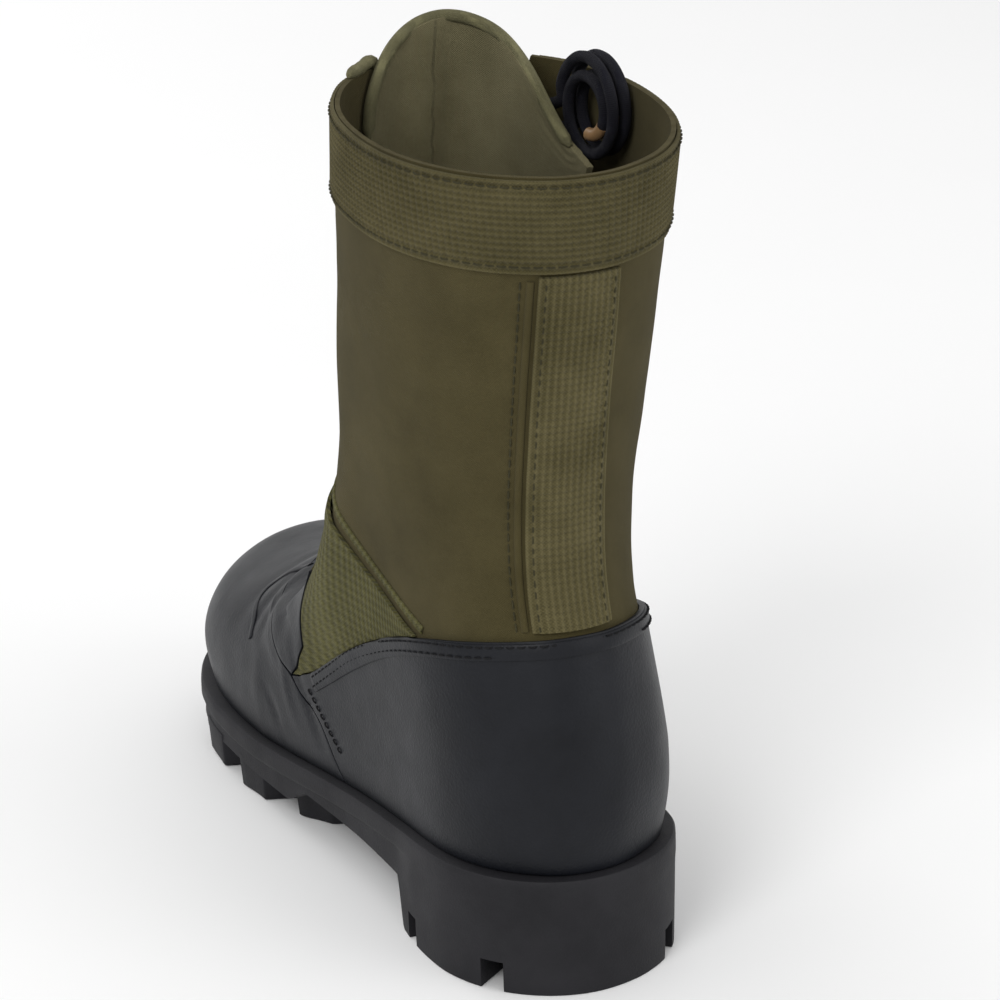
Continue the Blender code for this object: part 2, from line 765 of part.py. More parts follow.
def boolean(thing, tool, operation):
    """Apply a Boolean with a tool object and remove the tool."""
    modifier = thing.modifiers.new(operation, "BOOLEAN")
    modifier.operation = operation
    modifier.use_self = True
    modifier.object = tool
    bpy.context.view_layer.update()
    graph = bpy.context.evaluated_depsgraph_get()
    result = bpy.data.meshes.new_from_object(thing.evaluated_get(graph))
    thing.modifiers.clear()
    thing.data = result
    bpy.data.objects.remove(tool, do_unlink=True)


# Side lugs of the forefoot: start and end along (shares of SOLE_LENGTH), setback of the outer foot
# corners from the sole's edge at start and end (shares of LUG_HEIGHT), depth (share of BALL_WIDTH)
SIDE_LUGS = [
    (0.520, 0.575, 1.30, 0.60, 0.21),
    (0.630, 0.690, 0.10, -0.05, 0.25),
    (0.745, 0.805, -0.10, -0.10, 0.26),
    (0.855, 0.910, -0.10, 0.00, 0.22),
]
# Middle lugs: along (share of SOLE_LENGTH), half width (share of BALL_WIDTH)
MIDDLE_LUGS = [(0.560, 0.15), (0.635, 0.19), (0.710, 0.20), (0.785, 0.20), (0.860, 0.17)]
MIDDLE_LUG_LENGTH = 0.011
CHEVRON = 0.009
LUG_SLANT = 0.007
LUG_DRAFT = 0.0008
EMBED = 0.0015


def side_lug(side, start, end, setback_start, setback_end, depth):
    turn = 1 if side == 0 else -1
    x = np.array([start, end]) * SOLE_LENGTH
    setback = np.array([setback_start, setback_end]) * LUG_HEIGHT
    outer = sole_edge(side, SOLE_RIM - STEP_DEPTH, x)
    outer[:, 1] -= turn * setback
    inner = outer - turn * np.array([[0, depth * BALL_WIDTH]])
    inner[:, 0] -= LUG_SLANT
    corners = np.array([outer[0], outer[1], inner[1], inner[0]])[:: turn]
    return block(corners, spring(corners[:, 0]), underside(corners[:, 0]) + EMBED, LUG_DRAFT)


def middle_lug(along, half):
    x = along * SOLE_LENGTH
    half *= BALL_WIDTH
    centre = float(middle_line(x))
    long = MIDDLE_LUG_LENGTH
    corners = [
        (x + CHEVRON, centre),
        (x, centre + half),
        (x - long, centre + half),
        (x - long + CHEVRON, centre),
        (x - long, centre - half),
        (x, centre - half),
    ]
    corners = np.array(corners)
    return block(corners, spring(corners[:, 0]), underside(corners[:, 0]) + EMBED, LUG_DRAFT)


def toe_lug():
    """Curved lug across the toe."""
    x = TOE_LUG_START * SOLE_LENGTH
    outer = []
    for side in (0, 1):
        places = np.linspace(x, 1.0 * SOLE_LENGTH, 5) if side == 0 else np.linspace(1.0 * SOLE_LENGTH, x, 5)
        edge = sole_edge(side, SOLE_RIM - STEP_DEPTH - EMBED, places)
        outer.extend(edge if side == 0 else edge[1:])
    outer = np.array(outer)
    centre = np.array([x - CHEVRON, float(middle_line(x))])
    corners = np.vstack([outer, centre])[::-1]
    return block(corners, spring(corners[:, 0]), underside(corners[:, 0]) + EMBED, LUG_DRAFT)


TOE_LUG_START = 0.935
# Notches in the heel's foot: along (share of HEEL_LENGTH), side (1 left, -1 right), reach in from
# the edge (share of HEEL_WIDTH)
HEEL_NOTCHES = [(0.25, 1, 0.26), (0.86, 1, 0.20), (0.25, -1, 0.26), (0.86, -1, 0.20)]


def heel_notch(along, side, reach):
    x = along * HEEL_LENGTH
    edge = sole_edge(0 if side > 0 else 1, SOLE_RIM, np.array([x]))[0, 1]
    inner = edge - side * reach * HEEL_WIDTH
    outer = edge + side * 3 * NOTCH_WIDTH
    half = NOTCH_WIDTH / 2
    corners = np.array([(x - half, inner), (x + half, inner), (x + half, outer), (x - half, outer)])[:: side]
    return block(corners, [-LUG_HEIGHT] * 4, [LUG_HEIGHT] * 4, 0.0)


def make_outsole():
    """Moulded rubber sole: stepped rim, heel, waist and lugs as one solid."""
    turn = np.linspace(0, math.pi, SOLE_STATIONS + 1)
    stations = (0.5 - 0.5 * np.cos(turn)) * SOLE_LENGTH
    extra = [HEEL_LENGTH, HEEL_LENGTH + BREAST, TREAD_START, TREAD_START + WAIST_RUN]
    kept = [x for x in stations if min(abs(x - e) for e in extra) > MIN_STATION]
    stations = np.array(sorted(kept + extra))
    rows = []
    steps = [
        (SOLE_RIM - SOLE_BEVEL, 0, SOLE_CLEARANCE),
        (SOLE_RIM, 0, SOLE_CLEARANCE + SOLE_BEVEL),
        (SOLE_RIM, 0, SOLE_CLEARANCE + SOLE_STEP),
        (SOLE_RIM - STEP_DEPTH, 0, SOLE_CLEARANCE + SOLE_STEP + SOLE_BEVEL),
        (SOLE_RIM - STEP_DEPTH, 1, 0),
    ]
    for outward, on_foot, drop in steps:
        row = []
        for side in (0, 1):
            line = sole_outline(side, outward)
            first, last = line[0, 0], line[-1, 0]
            x = stations.copy()
            x[0], x[-1] = first, last
            x[1:-1] = np.clip(x[1:-1], first + 0.0005, last - 0.0005)
            plan = sole_edge(side, outward, x)
            z = underside(x) if on_foot else feather_height(x) - drop
            row.append(np.column_stack([plan, z]))
        rows.append(row)
    body = loft(rows)
    sole = add_object("outsole", body, RUBBER_COLOUR, 0.7)
    lugs = [side_lug(side, *row) for side in (0, 1) for row in SIDE_LUGS]
    lugs += [middle_lug(*row) for row in MIDDLE_LUGS]
    lugs.append(toe_lug())
    boolean(sole, merge(lugs, "lugs"), "UNION")
    notches = [heel_notch(*row) for row in HEEL_NOTCHES]
    boolean(sole, merge(notches, "notches"), "DIFFERENCE")


SOLE_BEVEL = 0.001
MIN_STATION = 0.004


def make_insole():
    """Flat inner sole inside the foot of the upper."""
    ring = RING_POINTS[0]
    turned = form_normals(ring)
    turned[:, 2] = 0
    turned /= np.linalg.norm(turned, axis=1, keepdims=True)
    plan = ring - turned * (CANVAS + INSOLE_CLEARANCE)
    left = plan[HALF::-1]
    right = plan[HALF:]
    rows = []
    for rise in (INSOLE - SOLE_CLEARANCE + GAP, GAP - SOLE_CLEARANCE):
        row = []
        for line in (left, right):
            copy = line.copy()
            copy[:, 2] = feather_height(copy[:, 0]) + rise
            row.append(copy)
        rows.append(row)
    add_object("insole", loft(rows), TONGUE_COLOUR, 0.9)


INSOLE_CLEARANCE = 0.0012


def make_binding():
    """Rolled binding along the collar's edge."""
    ring = RING_POINTS[TOP_RING]
    ring = ring[kept_columns(TOP_RING)]
    normals = form_normals(ring)
    normals[:, 2] = 0
    normals /= np.linalg.norm(normals, axis=1, keepdims=True)
    mesh = bmesh.new()
    loops = []
    for point, normal in zip(ring, normals):
        middle = point + np.array([0, 0, GAP + BINDING_HEIGHT / 2]) + normal * (WEBBING_TOP - CANVAS) / 2
        loop = []
        for turn in np.linspace(0, 2 * math.pi, BINDING_SIDES, endpoint=False) + math.pi / BINDING_SIDES:
            out = normal * math.cos(turn) * BINDING_WIDTH / 2
            rise = np.array([0, 0, math.sin(turn) * BINDING_HEIGHT / 2])
            loop.append(mesh.verts.new(middle + out + rise))
        loops.append(loop)
    for a, b in zip(loops, loops[1:]):
        for i in range(BINDING_SIDES):
            j = (i + 1) % BINDING_SIDES
            mesh.faces.new([a[i], a[j], b[j], b[i]])
    mesh.faces.new(loops[0][::-1])
    mesh.faces.new(loops[-1])
    bmesh.ops.triangulate(mesh, faces=mesh.faces[:])
    add_object("collar_binding", mesh, WEBBING_COLOUR, 0.9)


BINDING_SIDES = 6


def front_point(ring, arc):
    """Point of the closed form at a distance from the ridge round a ring; left is positive."""
    side = 0 if arc >= 0 else 1
    points = whole_half_ring(ring, side)
    total = arc_lengths(points)[-1]
    return resample(points, [total - abs(arc)])[0]


def opening_arc(ring, side):
    """Distance round a ring from the ridge to the throat's edge."""
    whole = arc_lengths(whole_half_ring(ring, side))[-1]
    return whole - arc_lengths(half_ring(ring, side))[-1]


# Rings that the tongue's rows lie on, below its top edge
TONGUE_RINGS = [THROAT_RING - 1.4, *range(THROAT_RING, THROAT_RING + 8), BAND_RING - 4, BAND_RING - 2, BAND_RING, BAND_RING + 1]
# Tongue: ring, and how far it reaches round to the left and right (shares of SHAFT_LENGTH)
TONGUE_REACH = [
    (THROAT_RING - 1.4, 0.10, 0.10),
    (THROAT_RING, 0.17, 0.17),
    (THROAT_RING + 1.2, 0.21, 0.22),
    (THROAT_RING + 2.5, 0.23, 0.27),
    (THROAT_RING + 4.2, 0.24, 0.33),
    (THROAT_RING + 6, 0.25, 0.38),
    (THROAT_RING + 8, 0.25, 0.45),
    (THROAT_RING + 10, 0.25, 0.52),
    (BAND_RING, 0.24, 0.58),
    (BAND_RING + 1, 0.23, 0.62),
    (TOP_RING, 0.22, 0.64),
]
# Tongue's top edge: share of the way round from left to right, rise over the collar
TONGUE_TOP = [(0.0, -0.006), (0.06, 0.003), (0.15, 0.011), (0.30, 0.015), (0.48, 0.011), (0.66, 0.000), (0.85, -0.013), (1.0, -0.021)]
TONGUE_COLUMNS = 12
# Room between the tongue's right half and the quarter, for the tucked laces
TUCK_ROOM = 0.017


def make_tongue():
    """Gusseted tongue behind the throat, leaning inward at its upper right."""
    rows = []
    rings = TONGUE_RINGS + [TOP_RING]
    count = len(rings)
    for number, ring in enumerate(rings):
        row = []
        left, right = lookup(TONGUE_REACH, ring)
        for share in np.linspace(0, 1, TONGUE_COLUMNS + 1):
            arc = (left - share * (left + right)) * SHAFT_LENGTH
            rise = lookup(TONGUE_TOP, share)[0]
            last = TOP_RING + rise / RISE_ABOVE * BAND_RINGS
            up = (ring - THROAT_RING) / (TOP_RING - THROAT_RING)
            level = min(ring, last) if number < count - 1 else last
            if number == count - 2:
                level = min(level, last - TONGUE_MIN_STEP)
            if number == count - 3:
                level = min(level, last - 2 * TONGUE_MIN_STEP)
            point = front_point(level, arc)
            normal = form_normals([point])[0]
            lean = smooth_step((up - 0.45) / 0.5) * math.sin(math.pi * np.clip((share - 0.30) / 1.0, 0, 1)) ** 1.2
            slack = TONGUE_GAP + INSTEP_SLACK * math.exp(-(((ring - THROAT_RING - 2) / 2.2) ** 2))
            depth = CANVAS + slack + TUCK_ROOM * lean
            row.append((point - normal * depth, point - normal * (depth + TONGUE)))
        rows.append(row)
    mesh = bmesh.new()
    outer = [[mesh.verts.new(pair[0]) for pair in row] for row in rows]
    inner = [[mesh.verts.new(pair[1]) for pair in row] for row in rows]
    for i in range(count - 1):
        for j in range(TONGUE_COLUMNS):
            mesh.faces.new([outer[i][j], outer[i][j + 1], outer[i + 1][j + 1], outer[i + 1][j]])
            mesh.faces.new([inner[i][j], inner[i + 1][j], inner[i + 1][j + 1], inner[i][j + 1]])
    border = [(0, j) for j in range(TONGUE_COLUMNS)] + [(i, TONGUE_COLUMNS) for i in range(count - 1)]
    border += [(count - 1, j) for j in range(TONGUE_COLUMNS, 0, -1)] + [(i, 0) for i in range(count - 1, 0, -1)]
    for (a, b), (c, d) in zip(border, border[1:] + border[:1]):
        mesh.faces.new([outer[a][b], inner[a][b], inner[c][d], outer[c][d]])
    bmesh.ops.triangulate(mesh, faces=mesh.faces[:])
    add_object("tongue", mesh, TONGUE_COLOUR, 0.95)


TONGUE_GAP = 0.0014
INSTEP_SLACK = 0.0028
TONGUE_MIN_STEP = 0.35


def eyelet_rings():
    return np.linspace(THROAT_RING + FIRST_EYELET, BAND_RING - LAST_EYELET, EYELETS)


FIRST_EYELET = 0.75
LAST_EYELET = 0.6


def eyelet_seat(ring, side):
    """Point and normal of the form under an eyelet's middle."""
    turn = 1 if side == 0 else -1
    point = front_point(ring, turn * (opening_arc(ring, side) + EYELET_INSET))
    return point, form_normals([point])[0]


def surfaces(names):
    """One search tree over the faces of some objects."""
    joined = bmesh.new()
    for name in names:
        joined.from_mesh(bpy.data.objects[name].data)
    tree = BVHTree.FromBMesh(joined)
    joined.free()
    return tree


def height_over(tree, point, normal, radius):
    """Highest surface above the form within a radius of a point, along its normal."""
    normal = Vector(normal)
    across = normal.orthogonal().normalized()
    found = []
    for share in (0, 0.5, 1):
        for turn in np.linspace(0, 2 * math.pi, 12, endpoint=False):
            spoke = Matrix.Rotation(turn, 3, normal) @ across * radius * share
            start = Vector(point) + spoke + normal * SEARCH
            hit = tree.ray_cast(start, -normal, 2 * SEARCH)
            if hit[0] is not None:
                found.append(SEARCH - hit[3])
    return max(found) if found else -SEARCH


SEARCH = 0.02


def make_eyelets():
    """Flanged eyelets in a row down each side of the throat."""
    tree = surfaces(["facing_left", "facing_right", "eyestay_left", "eyestay_right", "upper"])
    for side, name in enumerate(("left", "right")):
        for number, ring in enumerate(eyelet_rings()):
            point, normal = eyelet_seat(ring, side)
            bottom = height_over(tree, point, normal, EYELET_HOLE / 2 + EYELET_RIM) + GAP
            mesh = bmesh.new()
            profile = [
                (EYELET_HOLE / 2, bottom),
                (EYELET_HOLE / 2 + EYELET_RIM, bottom),
                (EYELET_HOLE / 2 + EYELET_RIM * 0.8, bottom + EYELET_HEIGHT),
                (EYELET_HOLE / 2, bottom + EYELET_HEIGHT * 0.8),
            ]
            across = Vector(normal).orthogonal().normalized()
            loops = []
            for turn in np.linspace(0, 2 * math.pi, EYELET_SIDES, endpoint=False):
                spoke = Matrix.Rotation(turn, 3, Vector(normal)) @ across
                loops.append([mesh.verts.new(Vector(point) + spoke * r + Vector(normal) * h) for r, h in profile])
            for a, b in zip(loops, loops[1:] + loops[:1]):
                for i in range(len(profile)):
                    j = (i + 1) % len(profile)
                    mesh.faces.new([a[i], b[i], b[j], a[j]])
            bmesh.ops.triangulate(mesh, faces=mesh.faces[:])
            add_object(f"eyelet_{name}_{number + 1}", mesh, METAL_COLOUR, 0.4)


EYELET_SIDES = 8


def tube(points, radius, sides):
    """Closed tube along points, with flat ends."""
    points = np.array(points)
    along = np.gradient(points, axis=0)
    along /= np.linalg.norm(along, axis=1, keepdims=True)
    mesh = bmesh.new()
    across = Vector(along[0]).orthogonal().normalized()
    loops = []
    for point, way in zip(points, along):
        way = Vector(way)
        across = (across - way * across.dot(way)).normalized()
        loop = []
        for turn in np.linspace(0, 2 * math.pi, sides, endpoint=False):
            loop.append(mesh.verts.new(Vector(point) + Matrix.Rotation(turn, 3, way) @ across * radius))
        loops.append(loop)
    for a, b in zip(loops, loops[1:]):
        for i in range(sides):
            j = (i + 1) % sides
            mesh.faces.new([a[i], a[j], b[j], b[i]])
    mesh.faces.new(loops[0][::-1])
    mesh.faces.new(loops[-1])
    bmesh.ops.triangulate(mesh, faces=mesh.faces[:])
    bmesh.ops.recalc_face_normals(mesh, faces=mesh.faces[:])
    return mesh


LACE_SIDES = 6
LACE_STEPS = 7
LACE_CLEARANCE = 0.0009


def lace_path(tree, stops):
    """Centre line of a lace laid over what lies under it, through stops of (ring, arc from the ridge)."""
    places = []
    for (ring_a, arc_a), (ring_b, arc_b) in zip(stops, stops[1:]):
        for t in np.linspace(0, 1, LACE_STEPS, endpoint=False):
            places.append((ring_a + t * (ring_b - ring_a), arc_a + t * (arc_b - arc_a)))
    places.append(stops[-1])
    points = np.array([front_point(*place) for place in places])
    normals = form_normals(points)
    reach = LACE / 2 + LACE_CLEARANCE
    heights = [height_over(tree, p, n, reach) for p, n in zip(points, normals)]
    around = [max(heights[max(i - 1, 0) : i + 2]) for i in range(len(heights))]
    return points + normals * (np.array(around)[:, None] + reach)


def make_laces():
    """Crossed laces from the lowest eyelets to the top ones, and the bar below them, as one solid."""
    pieces = ["facing_left", "facing_right", "eyestay_left", "eyestay_right", "upper", "tongue"]
    pieces += [thing.name for thing in bpy.data.objects if thing.name.startswith("eyelet_")]
    tree = surfaces(pieces)
    rings = eyelet_rings()
    runs = []
    for first in (0, 1):
        stops = []
        for number, ring in enumerate(rings):
            side = (first + number) % 2
            turn = 1 if side == 0 else -1
            stops.append((ring, turn * (opening_arc(ring, side) + EYELET_INSET)))
        runs.append(lace_path(tree, stops))
    bar = [(rings[0], opening_arc(rings[0], 0) + EYELET_INSET), (rings[0], -opening_arc(rings[0], 1) - EYELET_INSET)]
    runs.append(lace_path(tree, bar))
    lace = add_object("lace_crossings", tube(runs[0], LACE / 2, LACE_SIDES), LACE_COLOUR, 0.9)
    for run in runs[1:]:
        boolean(lace, merge([tube(run, LACE / 2, LACE_SIDES)], "run"), "UNION")


# Spare ends of the lace, in metres: from the right top eyelet round the throat's edge, and from the
# left top eyelet across the tongue, both to the bundle tucked inside the right quarter
RIGHT_END = [
    (0.1302, -0.0369, 0.2473),
    (0.1350, -0.0322, 0.2492),
    (0.1380, -0.0262, 0.2490),
    (0.1358, -0.0208, 0.2490),
    (0.1304, -0.0205, 0.2497),
    (0.1254, -0.0232, 0.2512),
    (0.1212, -0.0258, 0.2535),
    (0.1172, -0.0284, 0.2570),
    (0.1116, -0.0318, 0.2610),
    (0.1062, -0.0350, 0.2650),
]
LEFT_END = [
    (0.1355, 0.0310, 0.2475),
    (0.1392, 0.0248, 0.2500),
    (0.1412, 0.0135, 0.2508),
    (0.1412, 0.0000, 0.2520),
    (0.1385, -0.0115, 0.2530),
    (0.1330, -0.0175, 0.2560),
    (0.1268, -0.0205, 0.2600),
    (0.1206, -0.0242, 0.2640),
    (0.1146, -0.0282, 0.2685),
    (0.1080, -0.0318, 0.2730),
]
BUNDLE_MIDDLE = (0.0880, -0.0400, 0.2730)
BUNDLE_SIZE = (0.036, 0.0115, 0.044)
BUNDLE_TURN = math.radians(14)
BUNDLE_POWER = 0.6


def make_lace_ends():
    for name, route in (("lace_end_right", RIGHT_END), ("lace_end_left", LEFT_END)):
        mesh = tube(smooth_rows(route, LACE_END_STEPS), LACE / 2, 8)
        add_object(name, mesh, LACE_COLOUR, 0.9)


LACE_END_STEPS = 2


def rounded(value):
    return math.copysign(abs(value) ** BUNDLE_POWER, value)


def make_lace_bundle():
    """Outer shape of the spare lace, folded into a bundle between the tongue and the right quarter."""
    mesh = bmesh.new()
    bmesh.ops.create_uvsphere(mesh, u_segments=12, v_segments=8, radius=1)
    for vert in mesh.verts:
        x, y, z = vert.co
        vert.co = [rounded(v) * size / 2 for v, size in zip((x, y, z), BUNDLE_SIZE)]
    bmesh.ops.triangulate(mesh, faces=mesh.faces[:])
    place = Matrix.Translation(BUNDLE_MIDDLE) @ Matrix.Rotation(BUNDLE_TURN, 4, "Z")
    bmesh.ops.transform(mesh, matrix=place, verts=mesh.verts[:])
    add_object("lace_bundle", mesh, LACE_COLOUR, 0.9)


def main():
    for thing in list(bpy.data.objects):
        bpy.data.objects.remove(thing, do_unlink=True)
    make_upper()
    make_vamp()
    make_counter()
    make_backstay()
    make_collar_band()
    make_eyestays()
    make_ankle_straps()
    make_outsole()
    make_insole()
    make_binding()
    make_tongue()
    make_eyelets()
    make_laces()
    make_lace_ends()
    make_lace_bundle()
    for thing in bpy.data.objects:
        thing.data.transform(Matrix.Translation((-ORIGIN, 0, 0)))


main()
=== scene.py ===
"""Left jungle boot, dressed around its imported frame: canvas, webbing, leather, rubber and lace."""

import math

import bmesh
import bpy
import numpy as np
from mathutils import Matrix, Vector, noise
from mathutils.bvhtree import BVHTree


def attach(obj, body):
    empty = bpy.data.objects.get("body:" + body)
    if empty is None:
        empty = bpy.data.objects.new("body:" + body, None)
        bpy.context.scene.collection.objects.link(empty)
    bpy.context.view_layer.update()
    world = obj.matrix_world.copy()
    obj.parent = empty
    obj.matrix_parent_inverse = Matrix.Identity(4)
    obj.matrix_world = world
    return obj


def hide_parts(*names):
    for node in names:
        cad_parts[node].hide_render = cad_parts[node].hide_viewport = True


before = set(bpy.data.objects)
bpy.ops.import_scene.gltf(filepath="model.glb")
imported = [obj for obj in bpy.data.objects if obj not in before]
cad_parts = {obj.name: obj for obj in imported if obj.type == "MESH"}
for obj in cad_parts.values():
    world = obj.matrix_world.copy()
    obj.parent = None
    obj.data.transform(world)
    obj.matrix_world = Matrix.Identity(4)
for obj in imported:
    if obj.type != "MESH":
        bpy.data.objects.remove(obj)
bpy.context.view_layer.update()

# Camera, fitted to the photo; lengths in metres, angles in degrees
PHOTO_WIDTH = 1000
FOCAL_PIXELS = 4097.37
SENSOR = 36.0
AIM = Vector((0.114, 0, 0.134))
AZIMUTH = math.radians(248.183)
ELEVATION = math.radians(20.484)
ROLL = math.radians(-1.22)
DISTANCE = 1.42304
AIM_RIGHT = -0.026793
AIM_UP = 0.010904

# The boot's sizes that scene and frame share
BACK_X = -0.036
SHAFT_LENGTH = 0.136
COLLAR_BACK_Z = 0.278
COLLAR_RISE = 0.007
BAND_DEPTH = 0.032
AXIS_X = 0.030
ANKLE_Z = 0.1
# Where rays start, outside the boot
FAR = 0.3
ASIDE = 0.2
CANVAS_TOP = 0.0003
WEBBING_TOP = 0.0016
LEATHER_TOP = 0.0021
WELD = 1e-5
CLOTH = "cloth"
CLOTH_RADIUS = 0.060
SHARP = math.radians(40)
RIM_ANGLE = math.radians(48)
# Largest angles between two triangles that become one quad: of their faces, and of its shape
QUAD_FACES = math.radians(50)
QUAD_SHAPE = math.radians(70)
# Rounding of the edges of thin strips
STRIP_ROUNDING = 0.0004
ROUNDING_STEPS = 2


def camera_axes():
    level_share = math.cos(ELEVATION)
    back = Vector((math.sin(AZIMUTH) * level_share, -math.cos(AZIMUTH) * level_share, math.sin(ELEVATION)))
    level = Vector((math.cos(AZIMUTH), math.sin(AZIMUTH), 0))
    rise = back.cross(level)
    right = level * math.cos(ROLL) + rise * math.sin(ROLL)
    up = rise * math.cos(ROLL) - level * math.sin(ROLL)
    return right, up, back


RIGHT, UP, BACK = camera_axes()
EYE = AIM - RIGHT * AIM_RIGHT - UP * AIM_UP + BACK * DISTANCE


def add_camera():
    data = bpy.data.cameras.new("camera")
    data.sensor_width = SENSOR
    data.lens = SENSOR * FOCAL_PIXELS / PHOTO_WIDTH
    camera = bpy.data.objects.new("camera", data)
    bpy.context.scene.collection.objects.link(camera)
    turn = Matrix((RIGHT, UP, BACK)).transposed().to_4x4()
    camera.matrix_world = Matrix.Translation(EYE) @ turn
    bpy.context.scene.camera = camera


def photo_ray(across, down):
    """Direction from the eye through a point of the photo, in its pixels."""
    half = PHOTO_WIDTH / 2
    rightward = (across - half) / FOCAL_PIXELS
    downward = (down - half) / FOCAL_PIXELS
    return (RIGHT * rightward - UP * downward - BACK).normalized()


def smooth_step(t):
    t = np.clip(t, 0, 1)
    return t * t * (3 - 2 * t)


def smooth_path(points, steps):
    """Catmull-Rom curve through points, with steps between each two."""
    points = np.array([tuple(p) for p in points], float)
    padded = np.vstack([2 * points[0] - points[1], points, 2 * points[-1] - points[-2]])
    found = []
    for i in range(1, len(padded) - 2):
        a, b, c, d = padded[i - 1 : i + 3]
        for t in np.linspace(0, 1, steps, endpoint=False):
            curve = 2 * b + (c - a) * t + (2 * a - 5 * b + 4 * c - d) * t**2 + (3 * b - a - 3 * c + d) * t**3
            found.append(curve / 2)
    found.append(padded[-2])
    return np.array(found)


def path_lengths(points):
    steps = np.linalg.norm(np.diff(points, axis=0), axis=1)
    return np.concatenate([[0], np.cumsum(steps)])


def even_path(points, spacing):
    """The same path with evenly spaced points."""
    points = np.asarray(points, float)
    length = path_lengths(points)
    places = np.linspace(0, length[-1], max(int(round(length[-1] / spacing)), 2) + 1)
    return np.stack([np.interp(places, length, points[:, i]) for i in range(3)], -1)


def soften(values, passes):
    values = np.array(values, float)
    for _ in range(passes):
        values[1:-1] = (values[:-2] + 2 * values[1:-1] + values[2:]) / 4
    return values


# Building meshes
def new_piece(name, places, faces, uvs=None):
    mesh = bpy.data.meshes.new(name)
    mesh.from_pydata([tuple(p) for p in places], [], [tuple(f) for f in faces])
    if uvs is not None:
        layer = mesh.uv_layers.new(name=CLOTH)
        corners = [uvs[i] for face in faces for i in face]
        layer.data.foreach_set("uv", np.array(corners, np.float32).ravel())
    thing = bpy.data.objects.new(name, mesh)
    bpy.context.scene.collection.objects.link(thing)
    return thing


def pick(thing):
    bpy.ops.object.select_all(action="DESELECT")
    thing.select_set(True)
    bpy.context.view_layer.objects.active = thing


def apply(thing, kind, **settings):
    """Add a modifier with these settings and apply it."""
    modifier = thing.modifiers.new(kind.lower(), kind)
    for key, value in settings.items():
        setattr(modifier, key, value)
    pick(thing)
    bpy.ops.object.modifier_apply(modifier=modifier.name)


def finish_piece(thing, material, slot, *nodes, sharp=SHARP):
    thing.data.materials.clear()
    thing.data.materials.append(material)
    thing.data.shade_smooth()
    thing.data.set_sharp_from_angle(angle=sharp)
    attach(thing, "root")
    if nodes:
        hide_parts(*nodes)
    return thing


def turn_of(x, y):
    """Angle round the shaft from the middle of the back, positive on the left."""
    return np.arctan2(y, AXIS_X - x)


def lay_cloth(thing):
    """UV map in metres: round the shaft, and up."""
    mesh = thing.data
    while mesh.uv_layers:
        mesh.uv_layers.remove(mesh.uv_layers[0])
    layer = mesh.uv_layers.new(name=CLOTH)
    places = np.array([v.co[:] for v in mesh.vertices])
    flat = np.stack([turn_of(places[:, 0], places[:, 1]) * CLOTH_RADIUS, places[:, 2]], -1)
    corners = np.array([loop.vertex_index for loop in mesh.loops])
    layer.data.foreach_set("uv", flat[corners].astype(np.float32).ravel())


def smooth_copy(node, name, levels):
    """Welded copy of a CAD node in quads, subdivided, with its edges kept."""
    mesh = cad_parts[node].data.copy()
    mesh.materials.clear()
    thing = bpy.data.objects.new(name, mesh)
    bpy.context.scene.collection.objects.link(thing)
    pick(thing)
    bpy.ops.object.mode_set(mode="EDIT")
    bpy.ops.mesh.select_all(action="SELECT")
    bpy.ops.mesh.remove_doubles(threshold=WELD)
    bpy.ops.mesh.tris_convert_to_quads(face_threshold=QUAD_FACES, shape_threshold=QUAD_SHAPE)
    bpy.ops.mesh.customdata_custom_splitnormals_clear()
    bpy.ops.object.mode_set(mode="OBJECT")
    shape = bmesh.new()
    shape.from_mesh(mesh)
    crease = shape.edges.layers.float.get("crease_edge") or shape.edges.layers.float.new("crease_edge")
    for edge in shape.edges:
        edge.smooth = True
        if len(edge.link_faces) == 2 and edge.calc_face_angle() > RIM_ANGLE:
            edge[crease] = 1
    shape.to_mesh(mesh)
    shape.free()
    apply(thing, "SUBSURF", levels=levels, render_levels=levels)
    return thing


def round_edges(thing, width, angle=RIM_ANGLE):
    apply(thing, "BEVEL", width=width, segments=ROUNDING_STEPS, limit_method="ANGLE", angle_limit=angle)


def tree_of(*things):
    joined = bmesh.new()
    for thing in things:
        joined.from_mesh(thing.data)
    tree = BVHTree.FromBMesh(joined)
    joined.free()
    return tree


def rim_points(node, thickness):
    """Middles of a thin wall's edge, from a welded copy of its CAD node."""
    shape = bmesh.new()
    shape.from_mesh(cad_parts[node].data)
    bmesh.ops.remove_doubles(shape, verts=shape.verts[:], dist=WELD)
    middles = []
    for edge in shape.edges:
        beside = [e for v in edge.verts for e in v.link_edges if e != edge and len(e.link_faces) == 2]
        angles = [e.calc_face_angle(0) for e in beside]
        if edge.calc_length() < thickness and max(angles) > RIM_ANGLE:
            middles.append((edge.verts[0].co + edge.verts[1].co) / 2)
    shape.free()
    return middles


def chain(middles, start, reach):
    """Points in order of nearness, from the one nearest start, until none is within reach."""
    left = list(middles)
    left.sort(key=lambda p: (p - start).length)
    path = [left.pop(0)]
    while left:
        left.sort(key=lambda p: (p - path[-1]).length)
        if (left[0] - path[-1]).length > reach:
            break
        path.append(left.pop(0))
    return path


# Middle of the toe's round and of the foot's height, and where the shaft's own round takes over
TOE_MIDDLE = 0.19
TOE_LEAN = 1.2
FOOT_MIDDLE_Z = 0.030
SHAFT_START_Z = 0.085
SHAFT_BLEND = 0.045


def outward(place):
    """Direction in which cloth and leather stand out at a point."""
    x, y, z = place
    round_shaft = Vector((x - AXIS_X, y, 0)).normalized()
    round_foot = Vector((max(x - TOE_MIDDLE, 0) * TOE_LEAN, y, z - FOOT_MIDDLE_Z)).normalized()
    share = float(smooth_step((z - SHAFT_START_Z) / SHAFT_BLEND))
    return (round_foot * (1 - share) + round_shaft * share).normalized()


